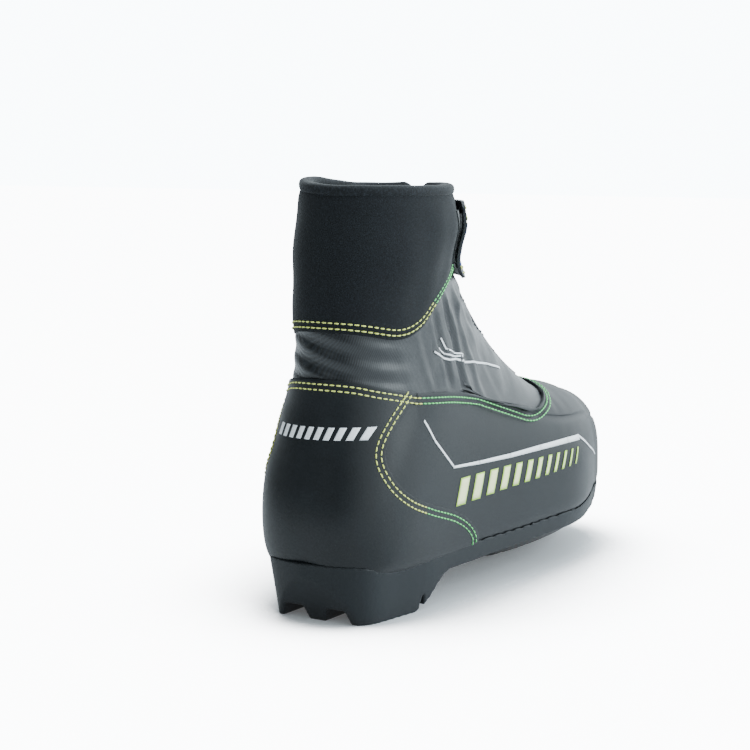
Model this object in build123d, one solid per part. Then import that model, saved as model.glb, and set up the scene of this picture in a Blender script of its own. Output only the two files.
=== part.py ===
"""A right-foot cross-country touring boot, standing on its sole.

The toe points along -Y, the outer side of the foot is -X and +Z is up.
The origin is on the ground, below the middle of the boot.
Places are written as (forward, side, up): forward from the back of the heel towards the toe,
side from the boot's centre line towards the outer side, and up from the ground, in millimetres.
"""

from build123d import *
from functools import cache
import math
import os

# ---- driving dimensions (mm) ----
HEEL_Y = 140.5          # where forward = 0 lies on the Y axis
CENTRE_X = -3.0         # where side = 0 lies on the X axis
TOE_TIP = 284.0         # forward end of the upper
RIM_UP = 206.5          # top of the cuff's cloth, below its binding
BINDING = 3.5           # height of the binding tape over the rim
SKIN = 2.0              # leather, neoprene and cover cloth
GAP = 0.3               # clearance between layers
LINING = 3.0            # foam-backed lining
STIFFENER = 1.2         # heel counter and toe puff
FOOTBED = 4.0           # loose insole
FAR = 200.0             # more than the boot's width
SKY = 300.0             # more than the boot's height

# Cross-sections of the upper from the toe box round to the top of the cuff.
# Each lies in a plane across the boot, through a top point and a bottom point:
# forward and up of the top point, forward and up of the bottom point, half width outside and
# inside, shift of the middle, share of the height above the widest line, roundness above, below
SECTIONS = [
    (252, 88, 254, 26, 37, 42, -8, 0.62, 2.5, 6.0),
    (232, 94, 234, 24, 43, 45, -6, 0.63, 2.4, 6.0),
    (204, 98, 200, 22.5, 49, 47, -4, 0.67, 2.2, 6.0),
    (178, 110, 152, 22, 45, 42, -2, 0.69, 2.1, 6.0),
    (157, 126, 100, 21.5, 39, 38, 0, 0.71, 2.0, 6.0),
    (142, 140, 50, 20, 37, 40, 0, 0.71, 2.0, 5.5),
    (132, 151, 10, 21, 37, 43, 0, 0.66, 2.0, 3.6),
    (124, 160, -3, 48, 36, 42, 0, 0.62, 2.0, 2.5),
    (117, 170, 2, 80, 33, 36, 0, 0.56, 2.1, 2.3),
    (110, 179, 7, 108, 32, 32, 0, 0.53, 2.1, 2.2),
    (106, 187, 9, 136, 34, 32, 0, 0.50, 2.2, 2.2),
    (104, 196, 8, 170, 37, 32, 1, 0.50, 2.2, 2.2),
    (100, 208, 12, 209, 35, 29, 1, 0.50, 2.2, 2.2),
]
OVER_RIM = 12.0                              # the form runs on this far above the rim before it is cut
TOE_STEPS = (0.97, 0.85, 0.60, 0.30)         # sections of the toe cap, as shares of its length
TOE_DRIFT = -3.0                             # the tip lies this far inside the toe box's middle
POINTS_ROUND = 24
ROWS_BETWEEN = 2
ROWS_ABOVE_ANKLE = 14                        # the form is lofted in two lengths that meet here

# Seams and edges in side view, as (forward, up).
RIM = [(-40, RIM_UP + 0.5), (160, RIM_UP - 0.5)]
CUFF_EDGE = [(-20, 143), (10, 140), (33, 136), (50, 140), (65, 150), (80, 158.5), (100, 165), (150, 172)]
QUARTER_TOP = [(-20, 120), (8, 118), (23, 114), (43, 109.5)]
VAMP_TOP = [
    (43, 109.5), (79, 106), (117, 99), (143, 90), (160, 86.3), (177, 88.5), (190, 92.5), (204, 98),
    (216, 106),
]
SEAM = [
    (43, 109.5), (28, 95), (20, 82), (23, 70), (34, 61), (52, 54), (77, 46), (92, 37), (99, 26),
    (101, 8),
]
BOARD_TOP = [
    (-40, 27), (10, 25.4), (50, 24.6), (100, 25.9), (152, 26.4), (200, 26.9), (234, 28.4),
    (254, 30.4), (310, 36),
]
COUNTER_EDGE = [(-40, 98), (10, 90), (42, 70), (62, 45), (72, 20)]
PUFF_EDGE = [(240, 110), (231, 70), (240, 40), (246, 10)]
CUFF_SLIT = 5.0                         # half width of the cuff's slit at the front
CUFF_SLIT_LOW = 172.0
COVER_SEAM = 0.4                        # half the gap between the cover's halves beyond the zip
WINDOW_SHARES = (0.64, 0.87)            # the leather's turned-in edge leaves this share of the sole open
FILLER_SHARES = (0.62, 0.862)
WINDOW_UP = 45.0

# Pieces inside, as distances in from the form's face or places in the boot's frame.
SHANK_LINE = [(46, 20.4), (75, 21.0), (100, 21.8), (150, 22.4)]
SHANK_THICK, SHANK_HALF_WIDTH = 1.0, 7.0
THROAT_HALF, THROAT_TOP = 24.0, 168.0
EYESTAY_LAYER = (3.2, 4.8)
EYESTAY_INSIDE, EYESTAY_TOP = 10.0, 160.0
TONGUE_LAYER = (6.3, 10.3)
TONGUE_HALF, TONGUE_TOP = 27.0, 203.0
EYELET_ANGLES = (28.0, 33.0, 38.0, 43.0, 48.0)
EYELET_SIDE = 15.0
EYELET_RADIUS, EYELET_HOLE, EYELET_LENGTH = 2.6, 1.9, 1.9

# The sole's upper edge in plan, as (forward, side). It hugs the leather.
SOLE_EDGE = [
    (-1, -3), (0.5, 10), (3.5, 20.5), (9, 27.5), (18, 31), (30, 32.8), (50, 35.8), (70, 37),
    (90, 38), (106, 39),
    (125, 40.3), (143, 41.8), (160, 43.2), (176, 44.4), (192, 45), (207, 43.8), (222, 40.8),
    (236, 36.5), (248, 32),
    (260, 28), (269, 23.8), (276, 18), (281, 8), (284, -4), (283.5, -17), (280.5, -30), (275, -41),
    (267, -48.5),
    (255, -51), (240, -52), (222, -52), (205, -51.5), (190, -50), (176, -48), (160, -45),
    (143, -42), (125, -39.8),
    (106, -38.4), (90, -38.2), (70, -38.8), (50, -38.8), (35, -37.4), (22, -35.8), (12, -33),
    (5, -26.5), (1, -17),
]
SOLE_EDGE_UP = 36.0                     # the side walls slant outwards from the ground to this height
SOLE_LOW_SHARES = (0.87, 0.965)         # their outline on the ground, as shares of its width and length
SOLE_CENTRE = -2.5                      # side of the guide grooves' middle
SOLE_TOP = [
    (-30, 31), (0, 30), (14, 28), (26, 24.8), (40, 25.2), (60, 26.5), (106, 27.6), (176, 28.2),
    (222, 29), (255, 31),
    (275, 34), (310, 40),
]
HEEL_FRONT = [(46, -1), (51, 0.6), (58, 4.5), (65, 11), (70, 15), (78, 17)]
SOLE_UNDER = [(78, 17), (106, 17.5), (145, 18.5), (176, 19), (222, 19.5), (250, 21.5), (270, 24), (310, 30)]
HEEL_BACK = [(11.5, -2), (0.8, 23)]     # the heel's flat slanted back
HEEL_SLOT = [(50, -2), (55.5, -2), (55, 4), (53.6, 10.5)]
ROCKER = [
    (130, 30), (147, 18), (155, 9.5), (166, 3.2), (180, 0.5), (193, 0), (207, 0.2), (220, 1.6),
    (240, 5.2), (262, 10),
    (280, 15.5), (310, 26),
]
FOREFOOT_EDGE = [
    (142, 36), (165, 39), (190, 40.5), (210, 39), (230, 35), (250, 29), (266, 21.5), (277, 10),
    (280, -4), (278, -19), (271, -33), (257, -43), (238, -46.5), (210, -47), (176, -44), (142, -37),
]
TREAD_SHARE = 0.22                      # width of the tread on the ground, as a share of its full width
TREAD_WIDE_UP, TREAD_TOP = 20.0, 26.0
SLOTS_FORWARD = (172, 184, 196, 208, 220, 232, 244)     # cross slots of the forefoot tread
SLOT_WIDTH, SLOT_DEPTH = 3.2, 4.0
GROOVE_SPAN = (-20.0, 292.0)
GROOVE_MIDDLE, GROOVE_WIDTH, GROOVE_TOP_WIDTH, GROOVE_DEPTH = 12.0, 13.8, 10.4, 7.0

# The toe bar, its bracket and the pocket in the sole that they sit in.
BAR_AT = (269.0, -4.0, 17.0)
BAR_RADIUS, BAR_LENGTH = 2.5, 33.0
BAR_OPEN = 26.0                         # bar seen between the bracket's ears
BRACKET_WALL = 1.5
POCKET = ((261.5, 277.0), 24.0)         # forward span and top

# The instep is an arc in side view, and the zip runs along it.
ARC_FORWARD, ARC_UP, ARC_RADIUS = 278.0, 276.0, 193.0
ZIP_LOW, ZIP_HIGH = 26.0, 52.0          # degrees from straight below the arc's centre
SLIDER_AT = 49.5
ZIP_HALF_WIDTH = 8.4
TOOTH_PITCH = 2.2
TOOTH_GAP = 0.15
POST_GAP = 0.9                          # room between the rows of teeth for the slider's post
CHAIN_HALF = 2.7
CHAIN_DEPTH = (-0.6, 1.2)
TAPE_DEPTH = (0.3, 1.2)
CHAIN_END = 4.0                         # tape left bare of teeth at each end
STOP_LENGTH = 2.0
STOPS_IN = (1.0, 2.5)                   # distances of the stops from the tape's lower and upper ends
SLIDER_LENGTH, SLIDER_HALF_WIDTH = 11.0, 4.7
SLIDER_DEPTH = (-2.6, 2.9)
PIN_RADIUS, PIN_DEPTH, PIN_AHEAD = 0.8, -4.2, 2.5
PULL_LENGTH, PULL_WIDTH, PULL_THICK = 20.0, 5.0, 1.3
EYE_RADIUS, EYE_WIDTH = 1.45, 2.4
PULL_DROP = 3.5                         # degrees that the pull leans in towards the cover

# The closing flap, sewn to the cuff along its hinge line.
STRAP_LAYER = (-3.4, -1.6)
STRAP_ZONE = [(80, 200), (98, 160), (150, 160), (150, 200)]
HOOKS_ZONE = [(84, 196), (97, 164), (118, 164), (106, 196)]
LABEL_ZONE = [(88, 192), (96, 170), (108, 172), (101, 193)]
LOOPS_ZONE = [(76, 198), (94, 166), (118, 166), (106, 198)]
PATCH_THICK, LABEL_THICK = 0.7, 0.6
STRAP_LIFT = 3.0                        # degrees that the free edge stands off the cuff
HINGE_LOW, HINGE_HIGH = (97.0, -27.2, 160.0), (80.0, -30.8, 200.0)


def at(forward, side, up):
    """A point in the boot's own frame."""
    return Vector(CENTRE_X - side, HEEL_Y - forward, up)


# ---- the form of the upper ----

def signed_power(value, power):
    """A power that keeps the sign."""
    return math.copysign(abs(value) ** power, value)


def blended_rows(rows, steps):
    """The table's rows with smooth ones in between, which never run past the values beside them."""
    def slope(k, column):
        if k in (0, len(rows) - 1):
            return 0.0 if k else rows[1][column] - rows[0][column]
        before = rows[k][column] - rows[k - 1][column]
        after = rows[k + 1][column] - rows[k][column]
        return 2 * before * after / (before + after) if before * after > 0 else 0.0

    blended = []
    for k in range(len(rows) - 1):
        for step in range(steps):
            t = step / steps
            row = []
            for column, (start, end) in enumerate(zip(rows[k], rows[k + 1])):
                row.append(
                    start + (3 * t ** 2 - 2 * t ** 3) * (end - start)
                    + (t ** 3 - 2 * t ** 2 + t) * slope(k, column) + (t ** 3 - t ** 2) * slope(k + 1, column)
                )
            blended.append(tuple(row))
    return blended + [rows[-1]]


def ring(row, inset, thin=1.0, low=1.0, move=0.0, drift=0.0):
    """Closed outline of one cross-section, moved inwards by inset and then made thinner and lower."""
    top_f, top_z, low_f, low_z, outside, inside, shift, share, round_top, round_low = row
    height = math.hypot(top_f - low_f, top_z - low_z)
    up_f, up_z = (top_f - low_f) / height, (top_z - low_z) / height
    mid_f, mid_z = top_f - up_f * height * share, top_z - up_z * height * share
    points = []
    for k in range(POINTS_ROUND):
        angle = 2 * math.pi * k / POINTS_ROUND
        c, s = math.cos(angle), math.sin(angle)
        power = 2 / (round_top if c > 0 else round_low)
        reach = (height * (share if c > 0 else 1 - share) - inset) * low
        width = ((outside if s > 0 else inside) - inset) * thin
        along = signed_power(c, power) * reach
        across = signed_power(s, power) * width
        points.append(at(mid_f + up_f * along + move, across + shift + drift, mid_z + up_z * along))
    return Wire([Edge.make_spline(points, periodic=True)])


@cache
def upper(inset, with_toe=True):
    """The whole solid form of the upper, from the toe tip past the rim, moved inwards by inset."""
    first = SECTIONS[0]
    rings = []
    for step in TOE_STEPS if with_toe else ():
        thin = (1 - step ** 2.2) ** (1 / 2.2)
        low = (1 - step ** 2.3) ** (1 / 2.3)
        forward = (TOE_TIP - inset - first[0]) * step
        rings.append(ring(first, inset, thin, low, forward, TOE_DRIFT * step))
    rings += [ring(row, inset) for row in blended_rows(SECTIONS, ROWS_BETWEEN)]
    lift = OVER_RIM + inset
    last = SECTIONS[-1]
    rings.append(ring((last[0], last[1] + lift, last[2], last[3] + lift, *last[4:]), inset))
    ankle = len(rings) - ROWS_ABOVE_ANKLE
    return Solid.make_loft(rings[:ankle + 1]) + Solid.make_loft(rings[ankle:])


def shell(outer_inset, inner_inset, with_toe=True):
    """The layer of the upper between two insets, with or without its toe cap."""
    return upper(outer_inset, with_toe) - upper(inner_inset, with_toe)


# ---- cutting tools ----

def side_prism(*runs, sides=(-FAR / 2, FAR / 2)):
    """Solid whose outline in side view joins the given runs of points, between two sides.

    A run of two points is a straight line, and a longer one is a smooth curve."""
    edges = []
    for index, run in enumerate(runs):
        points = [at(f, sides[0], z) for f, z in run]
        edges.append(Edge.make_line(*points) if len(run) == 2 else Edge.make_spline(points))
        following = runs[(index + 1) % len(runs)][0]
        if run[-1] != following:
            edges.append(Edge.make_line(points[-1], at(following[0], sides[0], following[1])))
    return Solid.extrude(Face(Wire(edges)), Vector(sides[0] - sides[1], 0, 0))


def above(*runs, sides=(-FAR / 2, FAR / 2)):
    """Everything above a line in side view."""
    return side_prism(*runs, [(runs[-1][-1][0], SKY), (runs[0][0][0], SKY)], sides=sides)


def below(*runs, sides=(-FAR / 2, FAR / 2)):
    """Everything below a line in side view."""
    return side_prism(*runs, [(runs[-1][-1][0], -SKY), (runs[0][0][0], -SKY)], sides=sides)


def raised(line, up):
    """The line moved straight up."""
    return [(f, z + up) for f, z in line]


def moved_forward(line, forward):
    """The line moved towards the toe."""
    return [(f + forward, z) for f, z in line]


def block(forward, side, up):
    """A box from (low, high) pairs."""
    low, high = at(forward[0], side[1], up[0]), at(forward[1], side[0], up[1])
    size = (high.X - low.X, low.Y - high.Y, high.Z - low.Z)
    return Pos(low.X, high.Y, low.Z) * Box(*size, align=(Align.MIN, Align.MIN, Align.MIN))


def plan_prism(edge, low, high):
    """Upright solid with a smooth closed outline in plan."""
    wire = Wire([Edge.make_spline([at(f, s, low) for f, s in edge], periodic=True)])
    return Solid.extrude(Face(wire), Vector(0, 0, high - low))


# ---- the sole unit ----

def drawn_in(edge, share, forward_share=0.97):
    """A plan outline made narrower about the grooves' middle, and a little shorter."""
    middle = 0.5 * (min(f for f, s in edge) + max(f for f, s in edge))
    return [(middle + (f - middle) * forward_share, SOLE_CENTRE + (s - SOLE_CENTRE) * share) for f, s in edge]


def smooth_loft(low_edge, low_up, high_edge, high_up):
    """The solid whose straight walls join two smooth plan outlines at different heights."""
    wires = []
    for edge, up in ((low_edge, low_up), (high_edge, high_up)):
        wires.append(Wire([Edge.make_spline([at(f, s, up) for f, s in edge], periodic=True)]))
    return Solid.make_loft(wires, ruled=True)


def mirrored_sides(side_low, side_high):
    """The two side ranges that lie equally far from the grooves' middle."""
    outer = (SOLE_CENTRE + side_low, SOLE_CENTRE + side_high)
    inner = (SOLE_CENTRE - side_high, SOLE_CENTRE - side_low)
    return outer, inner


def guide_groove(middle):
    """One lengthwise groove with slanted walls, under the whole sole."""
    start, end = GROOVE_SPAN
    wide, narrow = GROOVE_WIDTH / 2 + 1, GROOVE_TOP_WIDTH / 2
    outline = [(-wide, -1.5), (wide, -1.5), (narrow, GROOVE_DEPTH), (-narrow, GROOVE_DEPTH)]
    corners = [at(start, middle + side, up) for side, up in outline]
    return Solid.extrude(Face(Wire.make_polygon(corners)), Vector(0, start - end, 0))


def make_outsole():
    """Heel and arch in one slanting form, with a boat-shaped tread under the forefoot."""
    low_edge = drawn_in(SOLE_EDGE, *SOLE_LOW_SHARES)
    walls = smooth_loft(low_edge, 0, SOLE_EDGE, SOLE_EDGE_UP)
    under = [HEEL_FRONT[0], (-30, HEEL_FRONT[0][1])]
    sole = walls & side_prism(SOLE_TOP, SOLE_UNDER[::-1], HEEL_FRONT[::-1], under)
    tread = smooth_loft(drawn_in(FOREFOOT_EDGE, TREAD_SHARE), 0, FOREFOOT_EDGE, TREAD_WIDE_UP)
    tread = tread + plan_prism(FOREFOOT_EDGE, TREAD_WIDE_UP, TREAD_TOP)
    tread = tread & side_prism(ROCKER, [(310, 80), (130, 80)]) & below(raised(SOLE_UNDER, 1.0))
    slots = raised(ROCKER, SLOT_DEPTH)
    for forward in SLOTS_FORWARD:
        front = forward + SLOT_WIDTH
        span = side_prism([(forward, -5), (front, -5)], [(front, 30), (forward, 30)])
        slot = span & below(slots)
        for sides in mirrored_sides(20, 60):
            tread = tread - (slot & block((100, 300), sides, (-5, 40)))
    sole = sole + tread
    cutters = [guide_groove(SOLE_CENTRE - GROOVE_MIDDLE), guide_groove(SOLE_CENTRE + GROOVE_MIDDLE)]
    cutters.append(side_prism(HEEL_BACK, [(-40, 23), (-40, -2)]))
    for sides in mirrored_sides(22, 60):
        cutters.append(side_prism(HEEL_SLOT[:2], HEEL_SLOT[1:3], HEEL_SLOT[2:], sides=sides))
    _, bar_side, _ = BAR_AT
    half = BAR_OPEN / 2 + BRACKET_WALL
    pocket_forward, pocket_top = POCKET
    cutters.append(block(pocket_forward, (bar_side - half, bar_side + half), (-5, pocket_top)))
    cutters.append(bar_cylinder(BAR_RADIUS, BAR_LENGTH))
    for cutter in cutters:
        sole = sole - cutter
    return sole - upper(0)


# ---- the toe bar ----

def bar_cylinder(radius, length):
    """A cylinder across the boot where the toe bar lies."""
    forward, side, up = BAR_AT
    middle = at(forward, side, up)
    return Pos(middle.X, middle.Y, middle.Z) * Rot(0, 90, 0) * Cylinder(radius, length)


def make_toe_bar():
    return bar_cylinder(BAR_RADIUS, BAR_LENGTH)


def make_toe_bar_bracket():
    """A steel channel in the sole's pocket, whose two ears hold the bar."""
    forward, side, up = BAR_AT
    (low, high), top = POCKET
    half = BAR_OPEN / 2 + BRACKET_WALL
    channel = block((low + 2, high - 2), (side - half, side + half), (up - 3.6, top))
    inside = block((low, high), (side - BAR_OPEN / 2, side + BAR_OPEN / 2), (0, top - BRACKET_WALL))
    return channel - inside - bar_cylinder(BAR_RADIUS, BAR_LENGTH)


# ---- the upper's panels ----

def throat(half_width, top, deep=30.0):
    """The open front of the inner boot, from the toe box up to a height, between two sides."""
    front = [(202, 112), (202, 92), (150, 112 - deep * 0.5), (104, 160 - deep * 0.5), (80, top), (160, top)]
    runs = [[front[k], front[(k + 1) % len(front)]] for k in range(len(front))]
    return side_prism(*runs, sides=(-half_width, half_width))


def sole_window(shares):
    """An upright space under the foot, as shares of the sole's width and length."""
    return plan_prism(drawn_in(SOLE_EDGE, *shares), 0, WINDOW_UP)


def front_slit(low):
    """The slit down the front of the cuff."""
    return block((60, 200), (-CUFF_SLIT, CUFF_SLIT), (low, SKY))


def zip_channel(half_width):
    """The straight band along the instep that the zip's tapes fill."""
    return arc_bar(-half_width, half_width, -20, 8, ZIP_LOW, ZIP_HIGH)


def make_panels():
    """Cuff, two cover halves, heel quarter and vamp, and the foam filler that the window leaves."""
    skin = shell(0, SKIN)
    over_cuff_edge, over_panels = above(CUFF_EDGE), above(QUARTER_TOP, VAMP_TOP)
    cuff = (skin & over_cuff_edge & below(RIM)) - front_slit(CUFF_SLIT_LOW)
    cover = (skin & over_panels) - over_cuff_edge - zip_channel(ZIP_HALF_WIDTH + 0.1)
    leather = skin - over_panels
    behind = side_prism(SEAM, [(101, -10), (-40, -10)], [(-40, 150), (43, 150)])
    filler = leather & sole_window(FILLER_SHARES)
    leather = leather - sole_window(WINDOW_SHARES)
    return {
        "cuff": cuff,
        "cover_lateral": cover & block((-40, 320), (COVER_SEAM, FAR), (0, SKY)),
        "cover_medial": cover & block((-40, 320), (-FAR, -COVER_SEAM), (0, SKY)),
        "rear_quarter": leather & behind,
        "vamp": leather - behind,
        "bottom_filler": filler - make_shank(),
    }


# ---- pieces inside the boot ----

def make_shank():
    """A spring-steel strip under the arch."""
    top = raised(SHANK_LINE, SHANK_THICK)[::-1]
    return side_prism(SHANK_LINE, top, sides=(-SHANK_HALF_WIDTH, SHANK_HALF_WIDTH))


def make_lasting_board():
    return upper(SKIN + GAP) & below(BOARD_TOP)


def make_footbed():
    low = raised(BOARD_TOP, GAP)
    return upper(SKIN + GAP + LINING + GAP) & side_prism(low, raised(low, FOOTBED)[::-1])


def counter_zone(grow):
    """The part of the heel that its counter covers."""
    return below(moved_forward(COUNTER_EDGE, grow)) & above(raised(BOARD_TOP, GAP - grow))


def puff_zone(grow):
    """The part of the toe that its puff covers."""
    ahead = side_prism(moved_forward(PUFF_EDGE, -grow), [(320, 0), (320, 120)])
    return ahead & above(raised(BOARD_TOP, GAP - grow))


def make_stiffeners():
    """The heel counter and the toe puff, between the leather and the lining."""
    layer = shell(SKIN + GAP, SKIN + GAP + STIFFENER)
    return {"heel_counter": layer & counter_zone(0), "toe_puff": layer & puff_zone(0)}


def make_lining():
    """The padded inner boot, with pockets for the stiffeners and an open throat."""
    lining = shell(SKIN + GAP, SKIN + GAP + LINING) & below(RIM) & above(raised(BOARD_TOP, GAP))
    lining = lining - throat(THROAT_HALF, THROAT_TOP) - front_slit(150)
    pockets = shell(SKIN, SKIN + 2 * GAP + STIFFENER)
    for zone in (counter_zone(2 * GAP), puff_zone(2 * GAP)):
        lining = lining - (pockets & zone)
    return lining


def make_tongue():
    """The padded tongue behind the throat."""
    return shell(*TONGUE_LAYER, with_toe=False) & throat(TONGUE_HALF, TONGUE_TOP, 60)


def eyelet_place(angle, side):
    """Where an eyelet sits: on the middle of the eyestay, square to it."""
    layer = upper(sum(EYESTAY_LAYER) / 2, with_toe=False)
    inwards = on_arc(angle, side, ARC_RADIUS + 10) - on_arc(angle, side, ARC_RADIUS)
    hits = layer.find_intersection_points(Axis(on_arc(angle, side, ARC_RADIUS - 20), inwards))
    spot, normal = min(hits, key=lambda hit: (hit[0] - on_arc(angle, side, ARC_RADIUS - 20)).length)
    return Plane(spot, z_dir=normal)


def make_eyestays_and_eyelets():
    """Two strips beside the throat, and the rings set through them."""
    strip = shell(*EYESTAY_LAYER, with_toe=False) & throat(THROAT_HALF, THROAT_TOP)
    strip = strip - block((-40, 320), (-EYESTAY_INSIDE, EYESTAY_INSIDE), (0, SKY))
    strip = strip & block((-40, 320), (-60, 60), (0, EYESTAY_TOP))
    eyelets = []
    for angle in EYELET_ANGLES:
        for side in (EYELET_SIDE, -EYELET_SIDE):
            place = eyelet_place(angle, side).location
            strip = strip - place * Cylinder(EYELET_RADIUS + 0.05, 12)
            eyelets.append(place * (Cylinder(EYELET_RADIUS, EYELET_LENGTH) - Cylinder(EYELET_HOLE, 6)))
    outer_half = block((-40, 320), (0, FAR), (0, SKY))
    return {
        "eyestay_lateral": strip & outer_half,
        "eyestay_medial": strip - outer_half,
        "eyelets": Compound(children=eyelets),
    }


# ---- the zip ----

def on_arc(angle, side, radius):
    """A point at an angle from straight below the instep arc's centre, swung towards the shin."""
    turn = math.radians(angle)
    return at(ARC_FORWARD - radius * math.sin(turn), side, ARC_UP - radius * math.cos(turn))


def arc_bar(side_low, side_high, depth_low, depth_high, angle_low, angle_high):
    """A bar along the instep arc. Depth runs into the boot from the arc, and is negative outside it."""
    low, high = ARC_RADIUS + depth_low, ARC_RADIUS + depth_high
    middle = (angle_low + angle_high) / 2
    edges = [
        Edge.make_three_point_arc(*(on_arc(a, side_high, low) for a in (angle_low, middle, angle_high))),
        Edge.make_line(on_arc(angle_high, side_high, low), on_arc(angle_high, side_high, high)),
        Edge.make_three_point_arc(*(on_arc(a, side_high, high) for a in (angle_high, middle, angle_low))),
        Edge.make_line(on_arc(angle_low, side_high, high), on_arc(angle_low, side_high, low)),
    ]
    return Solid.extrude(Face(Wire(edges)), Vector(side_high - side_low, 0, 0))


def degrees(length):
    """Angle that a length takes along the instep arc."""
    return math.degrees(length / ARC_RADIUS)


def make_teeth(inner, outer, offset_length):
    """One row of teeth between two distances from the zip's middle."""
    teeth = []
    count = int((ZIP_HIGH - ZIP_LOW - 2 * degrees(CHAIN_END)) / degrees(TOOTH_PITCH))
    for k in range(count):
        start = ZIP_LOW + degrees(CHAIN_END + offset_length + k * TOOTH_PITCH)
        teeth.append(arc_bar(inner, outer, *CHAIN_DEPTH, start, start + degrees(TOOTH_PITCH / 2 - TOOTH_GAP)))
    return Compound(children=teeth)


def make_zip():
    """Tapes, two rows of teeth staggered by half a pitch with room between them, and the end stops."""
    stops = []
    for low in (ZIP_LOW + degrees(STOPS_IN[0]), ZIP_HIGH - degrees(STOPS_IN[1])):
        stops.append(arc_bar(-CHAIN_HALF, CHAIN_HALF, *CHAIN_DEPTH, low, low + degrees(STOP_LENGTH)))
    return {
        "zip_tape_lateral": arc_bar(CHAIN_HALF, ZIP_HALF_WIDTH, *TAPE_DEPTH, ZIP_LOW, ZIP_HIGH),
        "zip_tape_medial": arc_bar(-ZIP_HALF_WIDTH, -CHAIN_HALF, *TAPE_DEPTH, ZIP_LOW, ZIP_HIGH),
        "zip_teeth_lateral": make_teeth(POST_GAP / 2, CHAIN_HALF, 0.0),
        "zip_teeth_medial": make_teeth(-CHAIN_HALF, -POST_GAP / 2, TOOTH_PITCH / 2),
        "zip_stops": Compound(children=stops),
    }


def slider_frame():
    """Local frame of the slider: X to the outer side, Y down the instep, Z out of the boot."""
    origin = on_arc(SLIDER_AT, 0, ARC_RADIUS)
    out = (on_arc(SLIDER_AT, 0, 0) - origin).normalized()
    return Plane(origin, x_dir=Vector(-1, 0, 0), z_dir=out)


def make_slider():
    """The slider's body, hollow for the chain and the tapes, with its post and the pull's pin."""
    half = SLIDER_LENGTH / 2
    body = Pos(0, 0, -(SLIDER_DEPTH[0] + SLIDER_DEPTH[1]) / 2) * Box(
        2 * SLIDER_HALF_WIDTH, SLIDER_LENGTH, SLIDER_DEPTH[1] - SLIDER_DEPTH[0])
    body = fillet(body.edges().filter_by(Axis.Z), 1.6)
    chain = Pos(0, 0, -0.35) * Box(2 * CHAIN_HALF + 0.9, 3 * half, 2.7)
    tapes = Pos(0, 0, -0.75) * Box(4 * SLIDER_HALF_WIDTH, 3 * half, 1.7)
    pin_up = -PIN_DEPTH
    ear_top = pin_up + 1.2
    ears = [Pos(x, PIN_AHEAD, (ear_top + 2.0) / 2) * Box(0.9, 3.0, ear_top - 2.0) for x in (-2.0, 2.0)]
    pin = Pos(0, PIN_AHEAD, pin_up) * Rot(0, 90, 0) * Cylinder(PIN_RADIUS, 4.0)
    post = Pos(0, -half + 1.5, 0.3) * Box(POST_GAP - 0.4, 3.0, 4.0)
    return slider_frame().location * (body - chain - tapes + ears[0] + ears[1] + pin + post)


def make_pull():
    """A flat tab with an eye round the slider's pin, leaning down the instep."""
    eye = Rot(0, 90, 0) * (Cylinder(EYE_RADIUS, EYE_WIDTH) - Cylinder(PIN_RADIUS + 0.08, 4))
    neck = Pos(0, 4.2, 0) * Box(EYE_WIDTH, 5.6, PULL_THICK)
    tab = Pos(0, 5.0 + (PULL_LENGTH - 5.0) / 2, 0) * Box(PULL_WIDTH, PULL_LENGTH - 5.0, PULL_THICK)
    tab = fillet(tab.edges().filter_by(Axis.Z), 1.2)
    neck = neck - Rot(0, 90, 0) * Cylinder(EYE_RADIUS - 0.05, 4)
    pull = Rot(-PULL_DROP, 0, 0) * (eye + neck + tab)
    return slider_frame().location * Pos(0, PIN_AHEAD, -PIN_DEPTH) * pull


# ---- the cuff's binding and closing strap ----

def make_binding():
    """The tape that wraps the rim of the cuff and the lining."""
    tape = shell(-1.0, SKIN + GAP + LINING + 0.7) & side_prism(RIM, raised(RIM, BINDING)[::-1])
    return tape - front_slit(150)


def zone(points, sides=(-FAR / 2, FAR / 2)):
    """A straight-sided zone in side view."""
    count = len(points)
    return side_prism(*[[points[k], points[(k + 1) % count]] for k in range(count)], sides=sides)


def make_strap():
    """The hook-and-loop flap over the front of the cuff, with its patch and woven label."""
    axis_start, axis_end = at(*HINGE_LOW), at(*HINGE_HIGH)
    hinge = Axis(axis_start, axis_end - axis_start)
    under, over = STRAP_LAYER[1], STRAP_LAYER[0]
    flap = shell(*STRAP_LAYER, with_toe=False) & zone(STRAP_ZONE)
    hooks = shell(under, under + PATCH_THICK, with_toe=False) & zone(HOOKS_ZONE, (4, 60))
    label = shell(over - LABEL_THICK, over, with_toe=False) & zone(LABEL_ZONE, (4, 60))
    closed = {"cuff_strap": flap, "strap_hook_patch": hooks, "strap_label": label}
    pieces = {name: piece.rotate(hinge, STRAP_LIFT) for name, piece in closed.items()}
    pieces["strap_loop_patch"] = shell(-PATCH_THICK, -0.1) & zone(LOOPS_ZONE, (6, 60))
    return pieces


def main():
    pieces = {
        "outsole": make_outsole(),
        "toe_bar": make_toe_bar(),
        "toe_bar_bracket": make_toe_bar_bracket(),
        "shank": make_shank(),
        "lasting_board": make_lasting_board(),
        "footbed": make_footbed(),
        "lining": make_lining(),
        "tongue": make_tongue(),
        "cuff_binding": make_binding(),
        "zip_slider": make_slider(),
        "zip_pull": make_pull(),
    }
    for group in (make_panels(), make_stiffeners(), make_eyestays_and_eyelets(), make_zip(), make_strap()):
        pieces.update(group)
    os.makedirs("parts", exist_ok=True)
    for name, piece in pieces.items():
        export_step(piece, f"parts/{name}.step")


if __name__ == "__main__":
    main()
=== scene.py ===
"""The looks of a right-foot cross-country touring boot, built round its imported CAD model.

Places on the boot are written as (forward, side, up) in millimetres: forward from the back of the
heel towards the toe, side from the centre line towards the outer side, up from the ground.
"""

import math

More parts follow.
